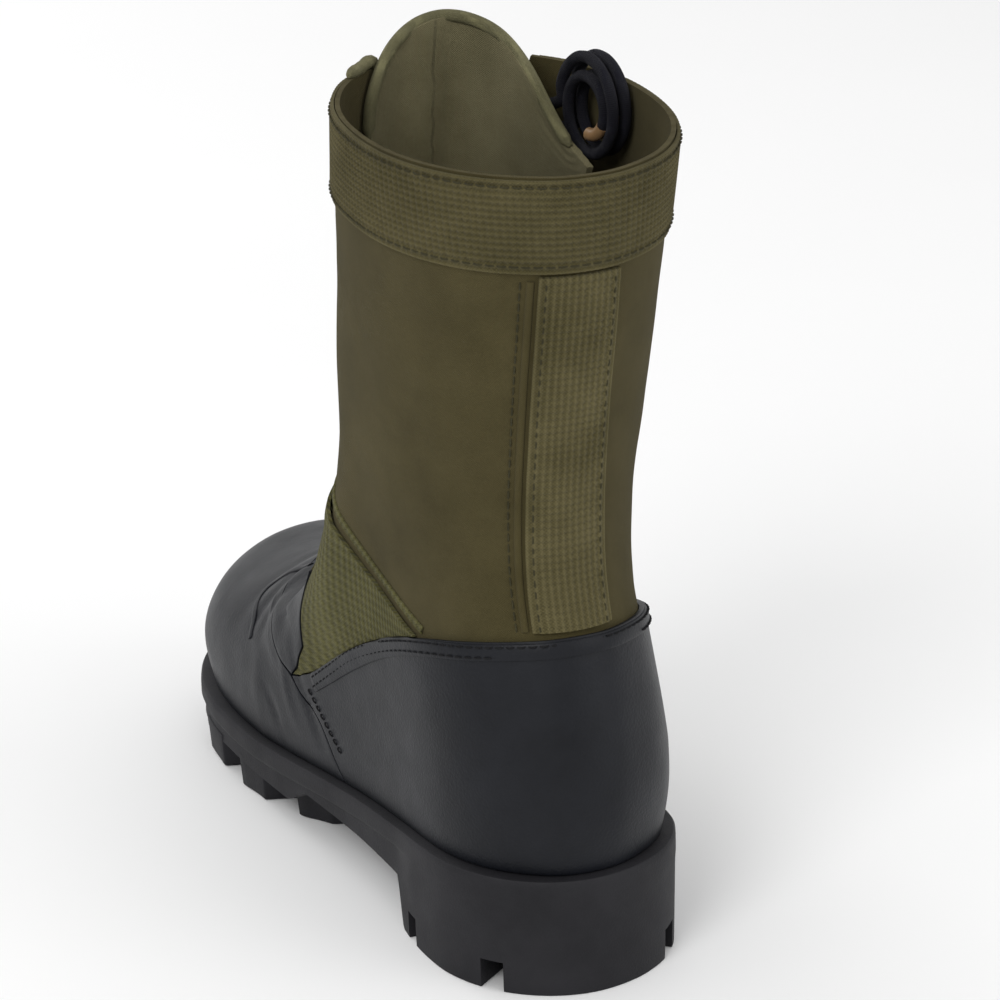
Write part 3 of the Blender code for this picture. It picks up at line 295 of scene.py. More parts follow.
def grid_normals(grid):
    across = np.gradient(grid, axis=1)
    along = np.gradient(grid, axis=0)
    normals = np.cross(across, along)
    normals /= np.maximum(np.linalg.norm(normals, axis=2, keepdims=True), 1e-12)
    middle = grid[len(grid) // 2, len(grid[0]) // 2]
    if Vector(normals[len(grid) // 2, len(grid[0]) // 2]).dot(outward(middle)) < 0:
        normals = -normals
    return normals


def drape(name, grid, low, high, relief=0.0):
    """Closed thin piece over a grid of surface points, from one height above them to another."""
    grid = np.asarray(grid, float)
    rows, columns = grid.shape[:2]
    normals = grid_normals(grid)
    top = grid + normals * (high + np.broadcast_to(relief, (rows, columns)))[..., None]
    foot = grid + normals * low
    places = np.vstack([top.reshape(-1, 3), foot.reshape(-1, 3)])
    along = path_lengths(grid[:, columns // 2])
    across = path_lengths(grid[rows // 2])
    flat = np.stack(np.broadcast_arrays(across[None, :], along[:, None]), -1).reshape(-1, 2)
    number = np.arange(rows * columns).reshape(rows, columns)
    under = number + rows * columns
    faces = []
    for i in range(rows - 1):
        for j in range(columns - 1):
            faces.append((number[i, j], number[i, j + 1], number[i + 1, j + 1], number[i + 1, j]))
            faces.append((under[i, j], under[i + 1, j], under[i + 1, j + 1], under[i, j + 1]))
    border = [(0, j) for j in range(columns)] + [(i, columns - 1) for i in range(1, rows)]
    border += [(rows - 1, j) for j in range(columns - 2, -1, -1)] + [(i, 0) for i in range(rows - 2, 0, -1)]
    for a, b in zip(border, border[1:] + border[:1]):
        faces.append((number[b], number[a], under[a], under[b]))
    thing = new_piece(name, places, faces, np.vstack([flat, flat]))
    shape = bmesh.new()
    shape.from_mesh(thing.data)
    bmesh.ops.recalc_face_normals(shape, faces=shape.faces[:])
    shape.to_mesh(thing.data)
    shape.free()
    return thing


def on_surface(tree, start, way):
    """Where a ray meets a surface, or the nearest point to it if it misses."""
    start, way = Vector(start), Vector(way).normalized()
    hit = tree.ray_cast(start, way)
    if hit[0] is None:
        reach = (Vector((AXIS_X, 0, ANKLE_Z)) - start).length
        hit = tree.find_nearest(start + way * reach)
    return hit[0], hit[1]


def round_point(tree, turn, z):
    """Surface point at an angle round the shaft and a height."""
    out = Vector((-math.cos(turn), math.sin(turn), 0))
    return on_surface(tree, Vector((AXIS_X, 0, z)) + out * FAR, -out)[0]


def tube_mesh(path, radius, sides):
    """Vertices, faces and UVs of a closed tube; radius is one number or one for each point."""
    path = np.asarray(path, float)
    along = np.gradient(path, axis=0)
    along /= np.linalg.norm(along, axis=1, keepdims=True)
    radii = np.broadcast_to(radius, len(path))
    length = path_lengths(path)
    across = Vector(along[0]).orthogonal().normalized()
    places, uvs, faces = [], [], []
    for point, way, size, run in zip(path, along, radii, length):
        way = Vector(way)
        across = (across - way * across.dot(way)).normalized()
        side = way.cross(across)
        for i in range(sides):
            turn = 2 * math.pi * i / sides
            places.append(Vector(point) + (across * math.cos(turn) + side * math.sin(turn)) * size)
            uvs.append((i / sides, run))
    for k in range(len(path) - 1):
        for i in range(sides):
            j = (i + 1) % sides
            faces.append((k * sides + i, k * sides + j, (k + 1) * sides + j, (k + 1) * sides + i))
    faces.append(tuple(range(sides))[::-1])
    faces.append(tuple((len(path) - 1) * sides + i for i in range(sides)))
    return places, faces, uvs


def tubes(name, paths, radius, sides):
    """Several closed tubes as one piece."""
    places, faces, uvs = [], [], []
    for path in paths:
        p, f, u = tube_mesh(path, radius, sides)
        faces += [tuple(i + len(places) for i in face) for face in f]
        places += p
        uvs += u
    return new_piece(name, places, faces, uvs)


STITCH = 0.0026
STITCH_GAP = 0.0011
THREAD = 0.00032
THREAD_SIDES = 5
# Each stitch's four points: share of the way along, height in thread radii
STITCH_ARCH = [(0.10, -1), (0.30, 0.7), (0.62, 0.7), (0.80, -1)]


def stitches(tree, path, lift):
    """Paths of the single stitches along a seam, each a low arch on the surface."""
    line = even_path(path, STITCH + STITCH_GAP)
    found = []
    for a, b in zip(line, line[1:]):
        stitch = []
        for along, height in STITCH_ARCH:
            near = tree.find_nearest(Vector(a + (b - a) * along))[0]
            stitch.append(near + outward(near) * (THREAD * height + lift))
        found.append(stitch)
    return found


# Materials
def add_node(tree, kind, inputs=None, **settings):
    made = tree.nodes.new(kind)
    for key, value in settings.items():
        setattr(made, key, value)
    for key, value in (inputs or {}).items():
        if isinstance(value, bpy.types.NodeSocket):
            tree.links.new(value, made.inputs[key])
        else:
            made.inputs[key].default_value = value
    return made


def start_material(name, **sockets):
    material = bpy.data.materials.new(name)
    material.use_nodes = True
    tree = material.node_tree
    shader = tree.nodes["Principled BSDF"]
    for key, value in sockets.items():
        shader.inputs[key.replace("_", " ")].default_value = value
    return material, tree, shader


def object_noise(tree, scale, detail=4.0, roughness=0.55):
    place = add_node(tree, "ShaderNodeTexCoord").outputs["Object"]
    settings = {"Vector": place, "Scale": scale, "Detail": detail, "Roughness": roughness}
    return add_node(tree, "ShaderNodeTexNoise", settings).outputs["Fac"]


def calculate(tree, operation, *values):
    made = add_node(tree, "ShaderNodeMath", {i: v for i, v in enumerate(values)}, operation=operation)
    return made.outputs[0]


def blend_colours(tree, share, dark, light):
    ramp = add_node(tree, "ShaderNodeMix", {0: share}, data_type="RGBA")
    ramp.inputs["A"].default_value = (*dark, 1)
    ramp.inputs["B"].default_value = (*light, 1)
    return ramp.outputs["Result"]


def spread(tree, value, low, high):
    inputs = {"Value": value, "From Min": low, "From Max": high}
    return add_node(tree, "ShaderNodeMapRange", inputs).outputs[0]


def bump(tree, height, distance, strength, under=None):
    inputs = {"Height": height, "Distance": distance, "Strength": strength}
    if under:
        inputs["Normal"] = under
    return add_node(tree, "ShaderNodeBump", inputs).outputs[0]


# Cloth: scales of its noises (per metre), and the shares that they, the threads and the ribs have in its
# colour; the threads' and ribs' shares are painted shade, darker in the valleys of weave and ribs
WAVER_SCALE = 140.0
WAVER = 1.2
MOTTLE_SCALE = 38.0
FIBRE_SCALE = 1400.0
FIBRE_MOTTLE = 0.35
MOTTLE_RANGE = (0.40, 0.92)
MOTTLE_SHADE = 0.75
PAINTED_WEAVE_SHADE = 0.30
PAINTED_RIB_SHADE = 0.20
RIB_HEIGHT = 0.9
CLOTH_BUMP = 0.0003
COARSE_BUMP = 0.0004
CLOTH_GLOSS = 0.08
LEATHER_GLOSS = 0.20


def cloth_material(name, dark, light, thread, rib=None, depth=CLOTH_BUMP, sheen=0.03):
    """Woven cloth; thread is the weave's pitch, and rib a coarser pitch along U, V or both."""
    material, tree, shader = start_material(name, Roughness=0.92, Sheen_Weight=sheen, Sheen_Roughness=0.6)
    shader.inputs["Specular IOR Level"].default_value = CLOTH_GLOSS
    place = add_node(tree, "ShaderNodeUVMap", uv_map=CLOTH).outputs[0]
    flat = add_node(tree, "ShaderNodeSeparateXYZ", {0: place})
    waver = calculate(tree, "MULTIPLY", object_noise(tree, WAVER_SCALE), thread * WAVER)
    waves = []
    for axis in ("X", "Y"):
        moved = calculate(tree, "ADD", flat.outputs[axis], waver)
        waves.append(calculate(tree, "SINE", calculate(tree, "MULTIPLY", moved, 2 * math.pi / thread)))
    weave = calculate(tree, "MULTIPLY", *waves)
    height = calculate(tree, "MULTIPLY_ADD", weave, 0.5, 0.5)
    patches = object_noise(tree, MOTTLE_SCALE, 5.0, 0.6)
    fibres = calculate(tree, "MULTIPLY", object_noise(tree, FIBRE_SCALE, 2.0), FIBRE_MOTTLE)
    share = spread(tree, calculate(tree, "ADD", patches, fibres), *MOTTLE_RANGE)
    share = calculate(tree, "MULTIPLY", share, MOTTLE_SHADE)
    # painted shade: the colour is darker in the weave's valleys and lighter on its crowns
    share = calculate(tree, "MULTIPLY_ADD", height, PAINTED_WEAVE_SHADE, share)
    if rib:
        for axis, pitch in zip(("X", "Y"), rib):
            if pitch:
                turn = calculate(tree, "MULTIPLY", flat.outputs[axis], 2 * math.pi / pitch)
                wave = calculate(tree, "SINE", turn)
                # painted shade: the colour is darker between the ribs and lighter on their crests
                share = calculate(tree, "MULTIPLY_ADD", wave, PAINTED_RIB_SHADE, share)
                height = calculate(tree, "MULTIPLY_ADD", wave, RIB_HEIGHT, height)
    tree.links.new(blend_colours(tree, share, dark, light), shader.inputs["Base Color"])
    tree.links.new(bump(tree, height, depth, 0.8), shader.inputs["Normal"])
    return material


def hide_material(name, dark, light, rough, grain, depth):
    """Grained leather or moulded rubber."""
    material, tree, shader = start_material(name)
    shader.inputs["Specular IOR Level"].default_value = LEATHER_GLOSS
    place = add_node(tree, "ShaderNodeTexCoord").outputs["Object"]
    share = spread(tree, object_noise(tree, 30.0, 6.0, 0.6), 0.3, 0.75)
    tree.links.new(blend_colours(tree, share, dark, light), shader.inputs["Base Color"])
    low, high = rough
    gloss = calculate(tree, "MULTIPLY_ADD", object_noise(tree, 75.0, 5.0), high - low, low)
    tree.links.new(gloss, shader.inputs["Roughness"])
    cells = add_node(tree, "ShaderNodeTexVoronoi", {"Vector": place, "Scale": 1 / grain}, feature="SMOOTH_F1")
    fine = object_noise(tree, 2.2 / grain, 3.0)
    height = calculate(tree, "MULTIPLY_ADD", fine, 0.6, cells.outputs["Distance"])
    tree.links.new(bump(tree, height, depth, 0.55), shader.inputs["Normal"])
    return material


# Threads' pitch in the coarser cloths, and the ribs' pitch along U and V
WEB_THREAD = 0.00110
ANKLE_THREAD = 0.00120
RIBS_ROUND = (0.0, 0.0022)
RIBS_UP = (0.0022, 0.0)
ANKLE_RIBS = (0.0026, 0.0031)
WEB_DARK, WEB_LIGHT = (0.042, 0.036, 0.013), (0.108, 0.092, 0.042)
STAY_DARK, STAY_LIGHT = (0.048, 0.041, 0.015), (0.125, 0.107, 0.050)
ANKLE_DARK, ANKLE_LIGHT = (0.050, 0.047, 0.016), (0.108, 0.101, 0.040)
LACE_DARK, LACE_LIGHT = (0.004, 0.004, 0.008), (0.014, 0.014, 0.022)
HIDE_DARK, HIDE_LIGHT = (0.0034, 0.0040, 0.0060), (0.0088, 0.0098, 0.0132)
SOLE_DARK, SOLE_LIGHT = (0.0100, 0.0098, 0.0118), (0.0190, 0.0186, 0.0215)
CANVAS = cloth_material("canvas", (0.044, 0.036, 0.013), (0.080, 0.066, 0.027), 0.00075)
WEBBING = cloth_material("webbing", WEB_DARK, WEB_LIGHT, WEB_THREAD, RIBS_ROUND, COARSE_BUMP)
STAY_WEBBING = cloth_material("stay_webbing", STAY_DARK, STAY_LIGHT, WEB_THREAD, RIBS_UP, COARSE_BUMP)
ANKLE_WEBBING = cloth_material(
    "ankle_webbing", ANKLE_DARK, ANKLE_LIGHT, ANKLE_THREAD, ANKLE_RIBS, COARSE_BUMP
)
TAPE = cloth_material("binding_tape", (0.125, 0.116, 0.055), (0.235, 0.220, 0.122), 0.00080)
TONGUE = cloth_material("tongue_cloth", (0.105, 0.094, 0.048), (0.205, 0.184, 0.104), 0.00070)
LINING = cloth_material("lining", (0.070, 0.058, 0.032), (0.130, 0.110, 0.065), 0.00090)
LACE = cloth_material("lace_braid", LACE_DARK, LACE_LIGHT, ANKLE_THREAD, None, COARSE_BUMP, 0.05)
THREADS = cloth_material("seam_thread", (0.036, 0.032, 0.014), (0.080, 0.072, 0.036), 0.00060)
BLACK_THREAD = cloth_material("black_thread", (0.006, 0.006, 0.007), (0.018, 0.018, 0.020), 0.00060)
LEATHER = hide_material("black_leather", HIDE_DARK, HIDE_LIGHT, (0.34, 0.54), 0.00095, 0.00016)
RUBBER = hide_material("sole_rubber", SOLE_DARK, SOLE_LIGHT, (0.50, 0.72), 0.00060, 0.00014)


def enamel():
    material, tree, shader = start_material("eyelet_enamel", Metallic=0.6)
    wear = object_noise(tree, 420.0, 4.0)
    worn = spread(tree, wear, 0.55, 0.85)
    colour = blend_colours(tree, worn, (0.012, 0.012, 0.013), (0.075, 0.070, 0.060))
    tree.links.new(colour, shader.inputs["Base Color"])
    tree.links.new(calculate(tree, "MULTIPLY_ADD", wear, 0.3, 0.25), shader.inputs["Roughness"])
    return material


ENAMEL = enamel()


def aglet_material():
    material, tree, shader = start_material("lace_tip", Roughness=0.35)
    colour = blend_colours(tree, object_noise(tree, 500.0), (0.19, 0.105, 0.045), (0.32, 0.20, 0.10))
    tree.links.new(colour, shader.inputs["Base Color"])
    return material


TIP = aglet_material()

# Skins: copies of the CAD's cloth and leather nodes, welded and subdivided
bare = tree_of(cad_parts["upper"])


def trace(pixels, spacing):
    """Even path on the upper's left side through points of the photo."""
    hits = [on_surface(bare, EYE, photo_ray(*pixel))[0] for pixel in pixels]
    return even_path(smooth_path(hits, 6), spacing)


# Creases: points in the photo, depth, half width; a negative depth stands out
VAMP_CREASES = [
    ([(272, 688), (280, 712), (287, 738)], 0.0016, 0.0026),
    ([(297, 642), (304, 680), (316, 712), (327, 742)], 0.0019, 0.0030),
    ([(286, 655), (292, 690), (301, 722)], -0.0010, 0.0030),
    ([(262, 655), (262, 690), (268, 728)], -0.0007, 0.0042),
]
TRACE_SPACING = 0.003
crease_lines = [(trace(pixels, TRACE_SPACING), depth, wide) for pixels, depth, wide in VAMP_CREASES]
# Flex lines over the top of the forefoot: place along, depth, width
FLEX_LINES = [(0.150, 0.0009, 0.0035), (0.163, 0.0012, 0.0040), (0.178, 0.0008, 0.0045)]


# The shaft's soft swell: noise round and up (per metre), height; then the same for small puckers
SWELL_ROUND = 17
SWELL_UP = 26
SWELL = 0.0011
PUCKER_SCALE = 62
PUCKER = 0.00035
FOREFOOT_X = 0.10
FOREFOOT_Z = 0.11


def fold(place):
    """How far every layer stands out at a point of the boot."""
    x, y, z = place
    shaft = float(smooth_step((z - 0.10) / 0.05)) * float(smooth_step((0.262 - z) / 0.03))
    swell = noise.noise(Vector((x * SWELL_ROUND, y * SWELL_ROUND, z * SWELL_UP))) * SWELL
    pucker = noise.noise(Vector((x, y, z)) * PUCKER_SCALE) * PUCKER
    found = shaft * (swell + pucker)
    if x > FOREFOOT_X and z < FOREFOOT_Z:
        mirrored = np.array((x, abs(y), z))
        for line, depth, wide in crease_lines:
            gap = np.linalg.norm(line - mirrored, axis=1)
            k = int(gap.argmin())
            fade = math.sin(math.pi * min(max((k + 1) / (len(line) + 1), 0), 1)) ** 0.5
            found -= depth * fade * math.exp(-((gap[k] / wide) ** 2))
        bend = x + 0.006 * math.cos(y * 55) + 0.002 * noise.noise(Vector((x * 30, y * 40, 3)))
        top = float(smooth_step((z - 0.055) / 0.02))
        for middle, depth, wide in FLEX_LINES:
            found -= top * depth * math.exp(-(((bend - middle) / wide) ** 2))
    return found


def move_layer(thing):
    for vert in thing.data.vertices:
        vert.co += outward(vert.co) * fold(vert.co)


# CAD node, piece, material, slot, subdivisions, rounding of its edges
SKINS = [
    ("upper", "canvas_upper", CANVAS, "canvas", 2, 0),
    ("vamp", "vamp_leather", LEATHER, "black_leather", 3, 0.0006),
    ("counter", "counter_leather", LEATHER, "black_leather", 3, 0.0006),
    ("facing_left", "facing_leather_left", LEATHER, "black_leather", 3, 0.0005),
    ("facing_right", "facing_leather_right", LEATHER, "black_leather", 3, 0.0005),
    ("eyestay_left", "eyestay_webbing_left", STAY_WEBBING, "webbing", 3, 0.0004),
    ("eyestay_right", "eyestay_webbing_right", STAY_WEBBING, "webbing", 3, 0.0004),
    ("ankle_strap_left", "ankle_webbing_left", ANKLE_WEBBING, "webbing", 3, 0.0004),
    ("ankle_strap_right", "ankle_webbing_right", ANKLE_WEBBING, "webbing", 3, 0.0004),
]
skins = {}
for node_name, piece_name, material, slot_name, levels, rim in SKINS:
    piece = smooth_copy(node_name, piece_name, levels)
    move_layer(piece)
    if rim:
        round_edges(piece, rim)
    lay_cloth(piece)
    finish_piece(piece, material, slot_name, node_name)
    skins[node_name] = piece
canvas_tree = tree_of(skins["upper"])
counter_tree = tree_of(skins["counter"])
side_tree = tree_of(*skins.values())


# Webbing with woven ribs
def rib_relief(run, pitch, depth):
    return depth * (0.5 + 0.5 * np.cos(2 * math.pi * run / pitch)) ** 0.7


RIB_PITCH = 0.0024
RIB_DEPTH = 0.00055
RIB_STEPS = 6
WEBBING_ROWS = 15
COLLAR_ROUND = 0.376
TOP_GAP = 0.0006
FOOT_GAP = 0.0004
WEBBING_BODY = WEBBING_TOP - 0.0003
# Turn by which the ribbed webbing stops short of its band's ends, in radians
COLLAR_INSET = 0.03


def make_collar_webbing():
    band = np.array([v.co[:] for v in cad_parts["collar_band"].data.vertices])
    turns = turn_of(band[:, 0], band[:, 1])
    shares = 0.5 - 0.5 * np.cos(turns)
    depths = COLLAR_BACK_Z + COLLAR_RISE * shares - band[:, 2]
    high, low = depths < BAND_DEPTH * 0.15, depths > BAND_DEPTH * 0.85
    columns = int(COLLAR_ROUND / RIB_PITCH * RIB_STEPS)
    rows = WEBBING_ROWS
    grid = np.zeros((rows, columns, 3))
    for i, down in enumerate(np.linspace(TOP_GAP, BAND_DEPTH - FOOT_GAP, rows)):
        share = down / BAND_DEPTH
        start = turns[high].min() * (1 - share) + turns[low].min() * share + COLLAR_INSET
        end = turns[high].max() * (1 - share) + turns[low].max() * share - COLLAR_INSET
        for j, turn in enumerate(np.linspace(start, end, columns)):
            top = COLLAR_BACK_Z + COLLAR_RISE * (0.5 - 0.5 * math.cos(turn))
            grid[i, j] = round_point(canvas_tree, turn, top - down)
    run = path_lengths(grid[rows // 2])
    edge = np.minimum(np.arange(rows), np.arange(rows)[::-1]) / 2.0
    relief = rib_relief(run, RIB_PITCH, RIB_DEPTH)[None, :] * np.clip(edge, 0.25, 1)[:, None]
    piece = drape("collar_webbing", grid, CANVAS_TOP, WEBBING_BODY, relief)
    finish_piece(piece, WEBBING, "webbing", "collar_band")
    return grid


# Webbing down the back: lowest and highest point, half width, height of its selvedges
STAY_LOW = 0.1232
STAY_HIGH = 0.2452
STAY_HALF = 0.0131
SELVEDGE = 0.00035


def make_backstay():
    rows = int((STAY_HIGH - STAY_LOW) / RIB_PITCH * RIB_STEPS)
    columns = WEBBING_ROWS
    grid = np.zeros((rows, columns, 3))
    for i, z in enumerate(np.linspace(STAY_LOW, STAY_HIGH, rows)):
        for j, y in enumerate(np.linspace(STAY_HALF, -STAY_HALF, columns)):
            grid[i, j] = on_surface(canvas_tree, (-FAR, y, z), (1, 0, 0))[0]
    run = path_lengths(grid[:, columns // 2])
    edge = np.minimum(np.arange(columns), np.arange(columns)[::-1])
    selvedge = np.where(edge < 2, SELVEDGE, 0.0)
    ribs = rib_relief(run, RIB_PITCH, RIB_DEPTH)
    relief = ribs[:, None] * np.clip(edge / 2.0, 0, 1)[None, :] + selvedge[None, :]
    piece = drape("backstay_webbing", grid, CANVAS_TOP, WEBBING_BODY, relief)
    finish_piece(piece, STAY_WEBBING, "webbing", "backstay")
    return grid


collar_grid = make_collar_webbing()
stay_grid = make_backstay()


STRIP_SPACING = 0.0022
STRIP_COLUMNS = 7
STRIP_START = 0.012


def ribbon(name, tree, path, width, low, high, material, slot_name, crown=0.0):
    """Strip of cloth or leather along a path on a surface."""
    path = even_path(path, STRIP_SPACING)
    along = np.gradient(path, axis=0)
    shares = np.linspace(-0.5, 0.5, STRIP_COLUMNS)
    grid = np.zeros((len(path), len(shares), 3))
    for i, (place, way) in enumerate(zip(path, along)):
        out = outward(place)
        side = out.cross(Vector(way)).normalized()
        for j, share in enumerate(shares):
            start = Vector(place) + side * share * width + out * STRIP_START
            hit = tree.ray_cast(start, -out)[0]
            grid[i, j] = hit if hit is not None else tree.find_nearest(start)[0]
    for _ in range(2):
        grid[1:-1] = (grid[:-2] + 2 * grid[1:-1] + grid[2:]) / 4
    relief = crown * (1 - (2 * shares) ** 2)[None, :]
    piece = drape(name, grid, low, high, relief)
    round_edges(piece, STRIP_ROUNDING)
    return finish_piece(piece, material, slot_name)


def both_sides(path):
    """A path on the left, and its mirror image laid on the right side's surface."""
    mirrored = []
    for x, y, z in path:
        mirrored.append(on_surface(side_tree, (x, -ASIDE, z), (0, 1, 0))[0])
    return [("left", path), ("right", np.array([tuple(p) for p in mirrored]))]


def sew(name, tree, paths, material, slot_name, lift=0.0002):
    found = []
    for path in paths:
        found += stitches(tree, path, lift)
    piece = tubes(name, found, THREAD, THREAD_SIDES)
    return finish_piece(piece, material, slot_name)


# Leather trims on counter and vamp
COUNTER_WALL = 0.0026
COUNTER_TOP_Z = 0.066
COUNTER_FRONT_X = 0.123
EDGE_REACH = 0.03
TOP_STRIP_DROP = 0.0034
TOP_STRIP_WIDTH = 0.0052
TOP_ROW_RISE = 0.0019
TOP_ROW_DROP = 0.0018


def make_counter_top():
    edge = rim_points("counter", COUNTER_WALL)
    middles = [p for p in edge if p.z > COUNTER_TOP_Z and p.x < COUNTER_FRONT_X]
    start = max(middles, key=lambda p: p.x + p.y * 2)
    path = smooth_path(chain(middles, start, EDGE_REACH), 4)
    drop = Vector((0, 0, TOP_STRIP_DROP))
    path = np.array([tuple(Vector(p) - drop + outward(p) * fold(p)) for p in path])
    width = TOP_STRIP_WIDTH
    ribbon("counter_top_strip", counter_tree, path, width, -0.0004, 0.0006, LEATHER, "black_leather", 0.0003)
    upper_row = path + np.array((0, 0, TOP_ROW_RISE))
    lower_row = path - np.array((0, 0, TOP_ROW_DROP))
    sew("counter_top_stitches", counter_tree, [lower_row, upper_row], BLACK_THREAD, "black_leather", 0.0010)


# Slanting lines on both sides, as first and last point (x, z): the vamp's seam and the ankle's fold
SEAM_LINE = [(0.0940, 0.0440), (0.1165, 0.0610)]
ANKLE_LINE = [(0.0190, 0.1150), (0.1010, 0.1448)]
LINE_POINTS = 24
SEAM_BACK = 0.0060
# Edge of the throat's leather, in the photo's pixels
THROAT_PATCH = [(312, 566), (290, 577), (270, 588), (262, 600), (257, 618), (255, 640)]
THROAT_EDGE = 0.0030
SIDES = ((1, "left"), (-1, "right"))


def side_line(line, side):
    """Straight line seen from one side (1 for left), laid on the surface there."""
    (start_x, start_z), (end_x, end_z) = line
    found = []
    for share in np.linspace(0, 1, LINE_POINTS):
        x = start_x + (end_x - start_x) * share
        z = start_z + (end_z - start_z) * share
        found.append(tuple(on_surface(side_tree, (x, side * ASIDE, z), (0, -side, 0))[0]))
    return np.array(found)


def make_front_trims():
    for side, name in SIDES:
        path = side_line(SEAM_LINE, side) - np.array((SEAM_BACK, 0, 0))
        sew("seam_stitches_" + name, counter_tree, [path], BLACK_THREAD, "black_leather", 0.0003)
    for side, path in both_sides(trace(THROAT_PATCH, TRACE_SPACING)):
        name = "throat_edge_" + side
        ribbon(name, side_tree, path, THROAT_EDGE, -0.0002, 0.0004, LEATHER, "black_leather", 0.0003)


make_counter_top()
make_front_trims()


FOLD_WIDTH = 0.0030
CANVAS_FOLD_WIDTH = 0.0026
# Steps from the fold to the stitches beside it, and from the backstay's edge to the canvas's fold and
# stitches
ANKLE_STEP = (0.0022, 0, -0.0056)
CANVAS_STEP = (0.0006, 0.0024, 0)
STITCH_STEP = (0.0018, 0.0056, 0)
STAY_EVERY = 6
COLLAR_EVERY = 9


def make_canvas_seams():
    for side, name in SIDES:
        path = side_line(ANKLE_LINE, side)
        fold_name = "ankle_fold_" + name
        ribbon(fold_name, side_tree, path, FOLD_WIDTH, 0.0, 0.0005, ANKLE_WEBBING, "webbing", 0.0004)
        sew("ankle_stitches_" + name, side_tree, [path + np.array(ANKLE_STEP)], THREADS, "webbing")
    rows = [stay_grid[::STAY_EVERY, column] for column in (1, -2)]
    sew("backstay_stitches", canvas_tree, rows, THREADS, "webbing", WEBBING_TOP + 0.0001)
    edge = stay_grid[::STAY_EVERY, 0]
    beside = edge + np.array(CANVAS_STEP)
    ribbon("canvas_fold", canvas_tree, beside, CANVAS_FOLD_WIDTH, -0.0003, 0.0003, CANVAS, "canvas", 0.0005)
    sew("canvas_stitches", canvas_tree, [edge + np.array(STITCH_STEP)], THREADS, "canvas")
    rows = [collar_grid[row, COLLAR_EVERY:-COLLAR_EVERY:COLLAR_EVERY] for row in (-2, 1)]
    sew("collar_stitches", canvas_tree, rows, THREADS, "webbing", WEBBING_TOP + 0.0002)


make_canvas_seams()


# Collar, tongue and inner sole
CANVAS_WALL = 0.0024
RIM_Z = 0.268
PIPING = 0.00215
PIPING_RIPPLE = 0.00009
PIPING_RIPPLE_PITCH = 0.0038
PIPING_OUT = 0.0004
PIPING_RISE = 0.0012
PIPING_SPACING = 0.0012
PIPING_END = 0.003


def round_ends(run, radius):
    """Radii along a piping that narrows at both ends."""
    end = np.minimum(run, run[-1] - run)
    return radius * np.sqrt(np.clip(end / PIPING_END, 0.15, 1))


def make_collar_piping():
    middles = [p for p in rim_points("upper", CANVAS_WALL) if p.z > RIM_Z]
    start = max(middles, key=lambda p: p.x + p.y)
    path = even_path(smooth_path(chain(middles, start, EDGE_REACH), 6), PIPING_SPACING)
    rise = Vector((0, 0, PIPING_RISE))
    path = np.array([tuple(Vector(p) + outward(p) * (fold(p) + PIPING_OUT) + rise) for p in path])
    run = path_lengths(path)
    radius = round_ends(run, PIPING + PIPING_RIPPLE * np.sin(run * 2 * math.pi / PIPING_RIPPLE_PITCH))
    piece = tubes("collar_piping", [path], radius, 12)
    finish_piece(piece, TAPE, "binding", "collar_binding")


TONGUE_WALL = 0.0036
TONGUE_EDGE_Z = 0.205
TONGUE_TOP_Z = 0.262
TONGUE_ROUNDING = 0.0005
TONGUE_PIPING = 0.0021
# Upright soft folds: height, waves across (radians per metre), where they are strongest, how wide
SOFT_FOLD = 0.0016
SOFT_WAVES = 260
SOFT_LEAN = 14
SOFT_MIDDLE = -0.010
SOFT_WIDTH = 0.022
SLACK = 0.0009
SLACK_SCALE = 55
# Sewn ridges of the top hem
HEM_DEPTH = 0.014
HEM_RIDGE = 0.00035
HEM_PITCH = 0.0030


def make_tongue():
    piece = smooth_copy("tongue", "tongue_cloth", 3)
    middles = [p for p in rim_points("tongue", TONGUE_WALL) if p.z > TONGUE_EDGE_Z]
    edge = chain(middles, max(middles, key=lambda p: p.x * 0.2 + p.y), 0.04)
    edge = even_path(smooth_path(edge, 5), 0.0015)
    top = edge[edge[:, 2] > TONGUE_TOP_Z]
    for vert in piece.data.vertices:
        x, y, z = vert.co
        out = outward(vert.co)
        rise = float(smooth_step((z - 0.17) / 0.08))
        share = math.exp(-(((y - SOFT_MIDDLE) / SOFT_WIDTH) ** 2))
        soft = SOFT_FOLD * math.sin(y * SOFT_WAVES + z * SOFT_LEAN) * share
        soft += SLACK * noise.noise(Vector((x, y, z * 0.4)) * SLACK_SCALE)
        vert.co += out * soft * rise
        gap = np.linalg.norm(top - np.array(vert.co), axis=1).min()
        if gap < HEM_DEPTH:
            vert.co += out * HEM_RIDGE * math.sin(gap * 2 * math.pi / HEM_PITCH) * (1 - gap / HEM_DEPTH)
    round_edges(piece, TONGUE_ROUNDING)
    lay_cloth(piece)
    finish_piece(piece, TONGUE, "tongue_canvas", "tongue")
    tree = tree_of(piece)
    near = np.array([tuple(tree.find_nearest(Vector(p))[0]) for p in top])
    near = soften(near, 3)
    radius = round_ends(path_lengths(near), TONGUE_PIPING)
    finish_piece(tubes("tongue_piping", [near], radius, 10), TAPE, "tongue_canvas")
    return piece


tongue = make_tongue()
make_collar_piping()
insole = smooth_copy("insole", "inner_sole", 1)
lay_cloth(insole)
finish_piece(insole, LINING, "lining", "insole")

# Sole, with the same main sizes as in the frame's source
SOLE_LENGTH = 0.302
HEEL_LENGTH = 0.072
BREAST = 0.004
TREAD_START = 0.150
WAIST_RUN = 0.020
WAIST_CLEARANCE = 0.018
LUG_HEIGHT = 0.010
TOE_SPRING = 0.009
FEATHER = [(0, 0.042), (0.15, 0.041), (0.30, 0.036), (0.45, 0.031), (0.65, 0.025), (0.80, 0.026), (1, 0.032)]
feather_curve = smooth_path([(along, z, 0) for along, z in FEATHER], 12)


def feather_height(x):
    return np.interp((np.asarray(x) - BACK_X) / SOLE_LENGTH, feather_curve[:, 0], feather_curve[:, 1])


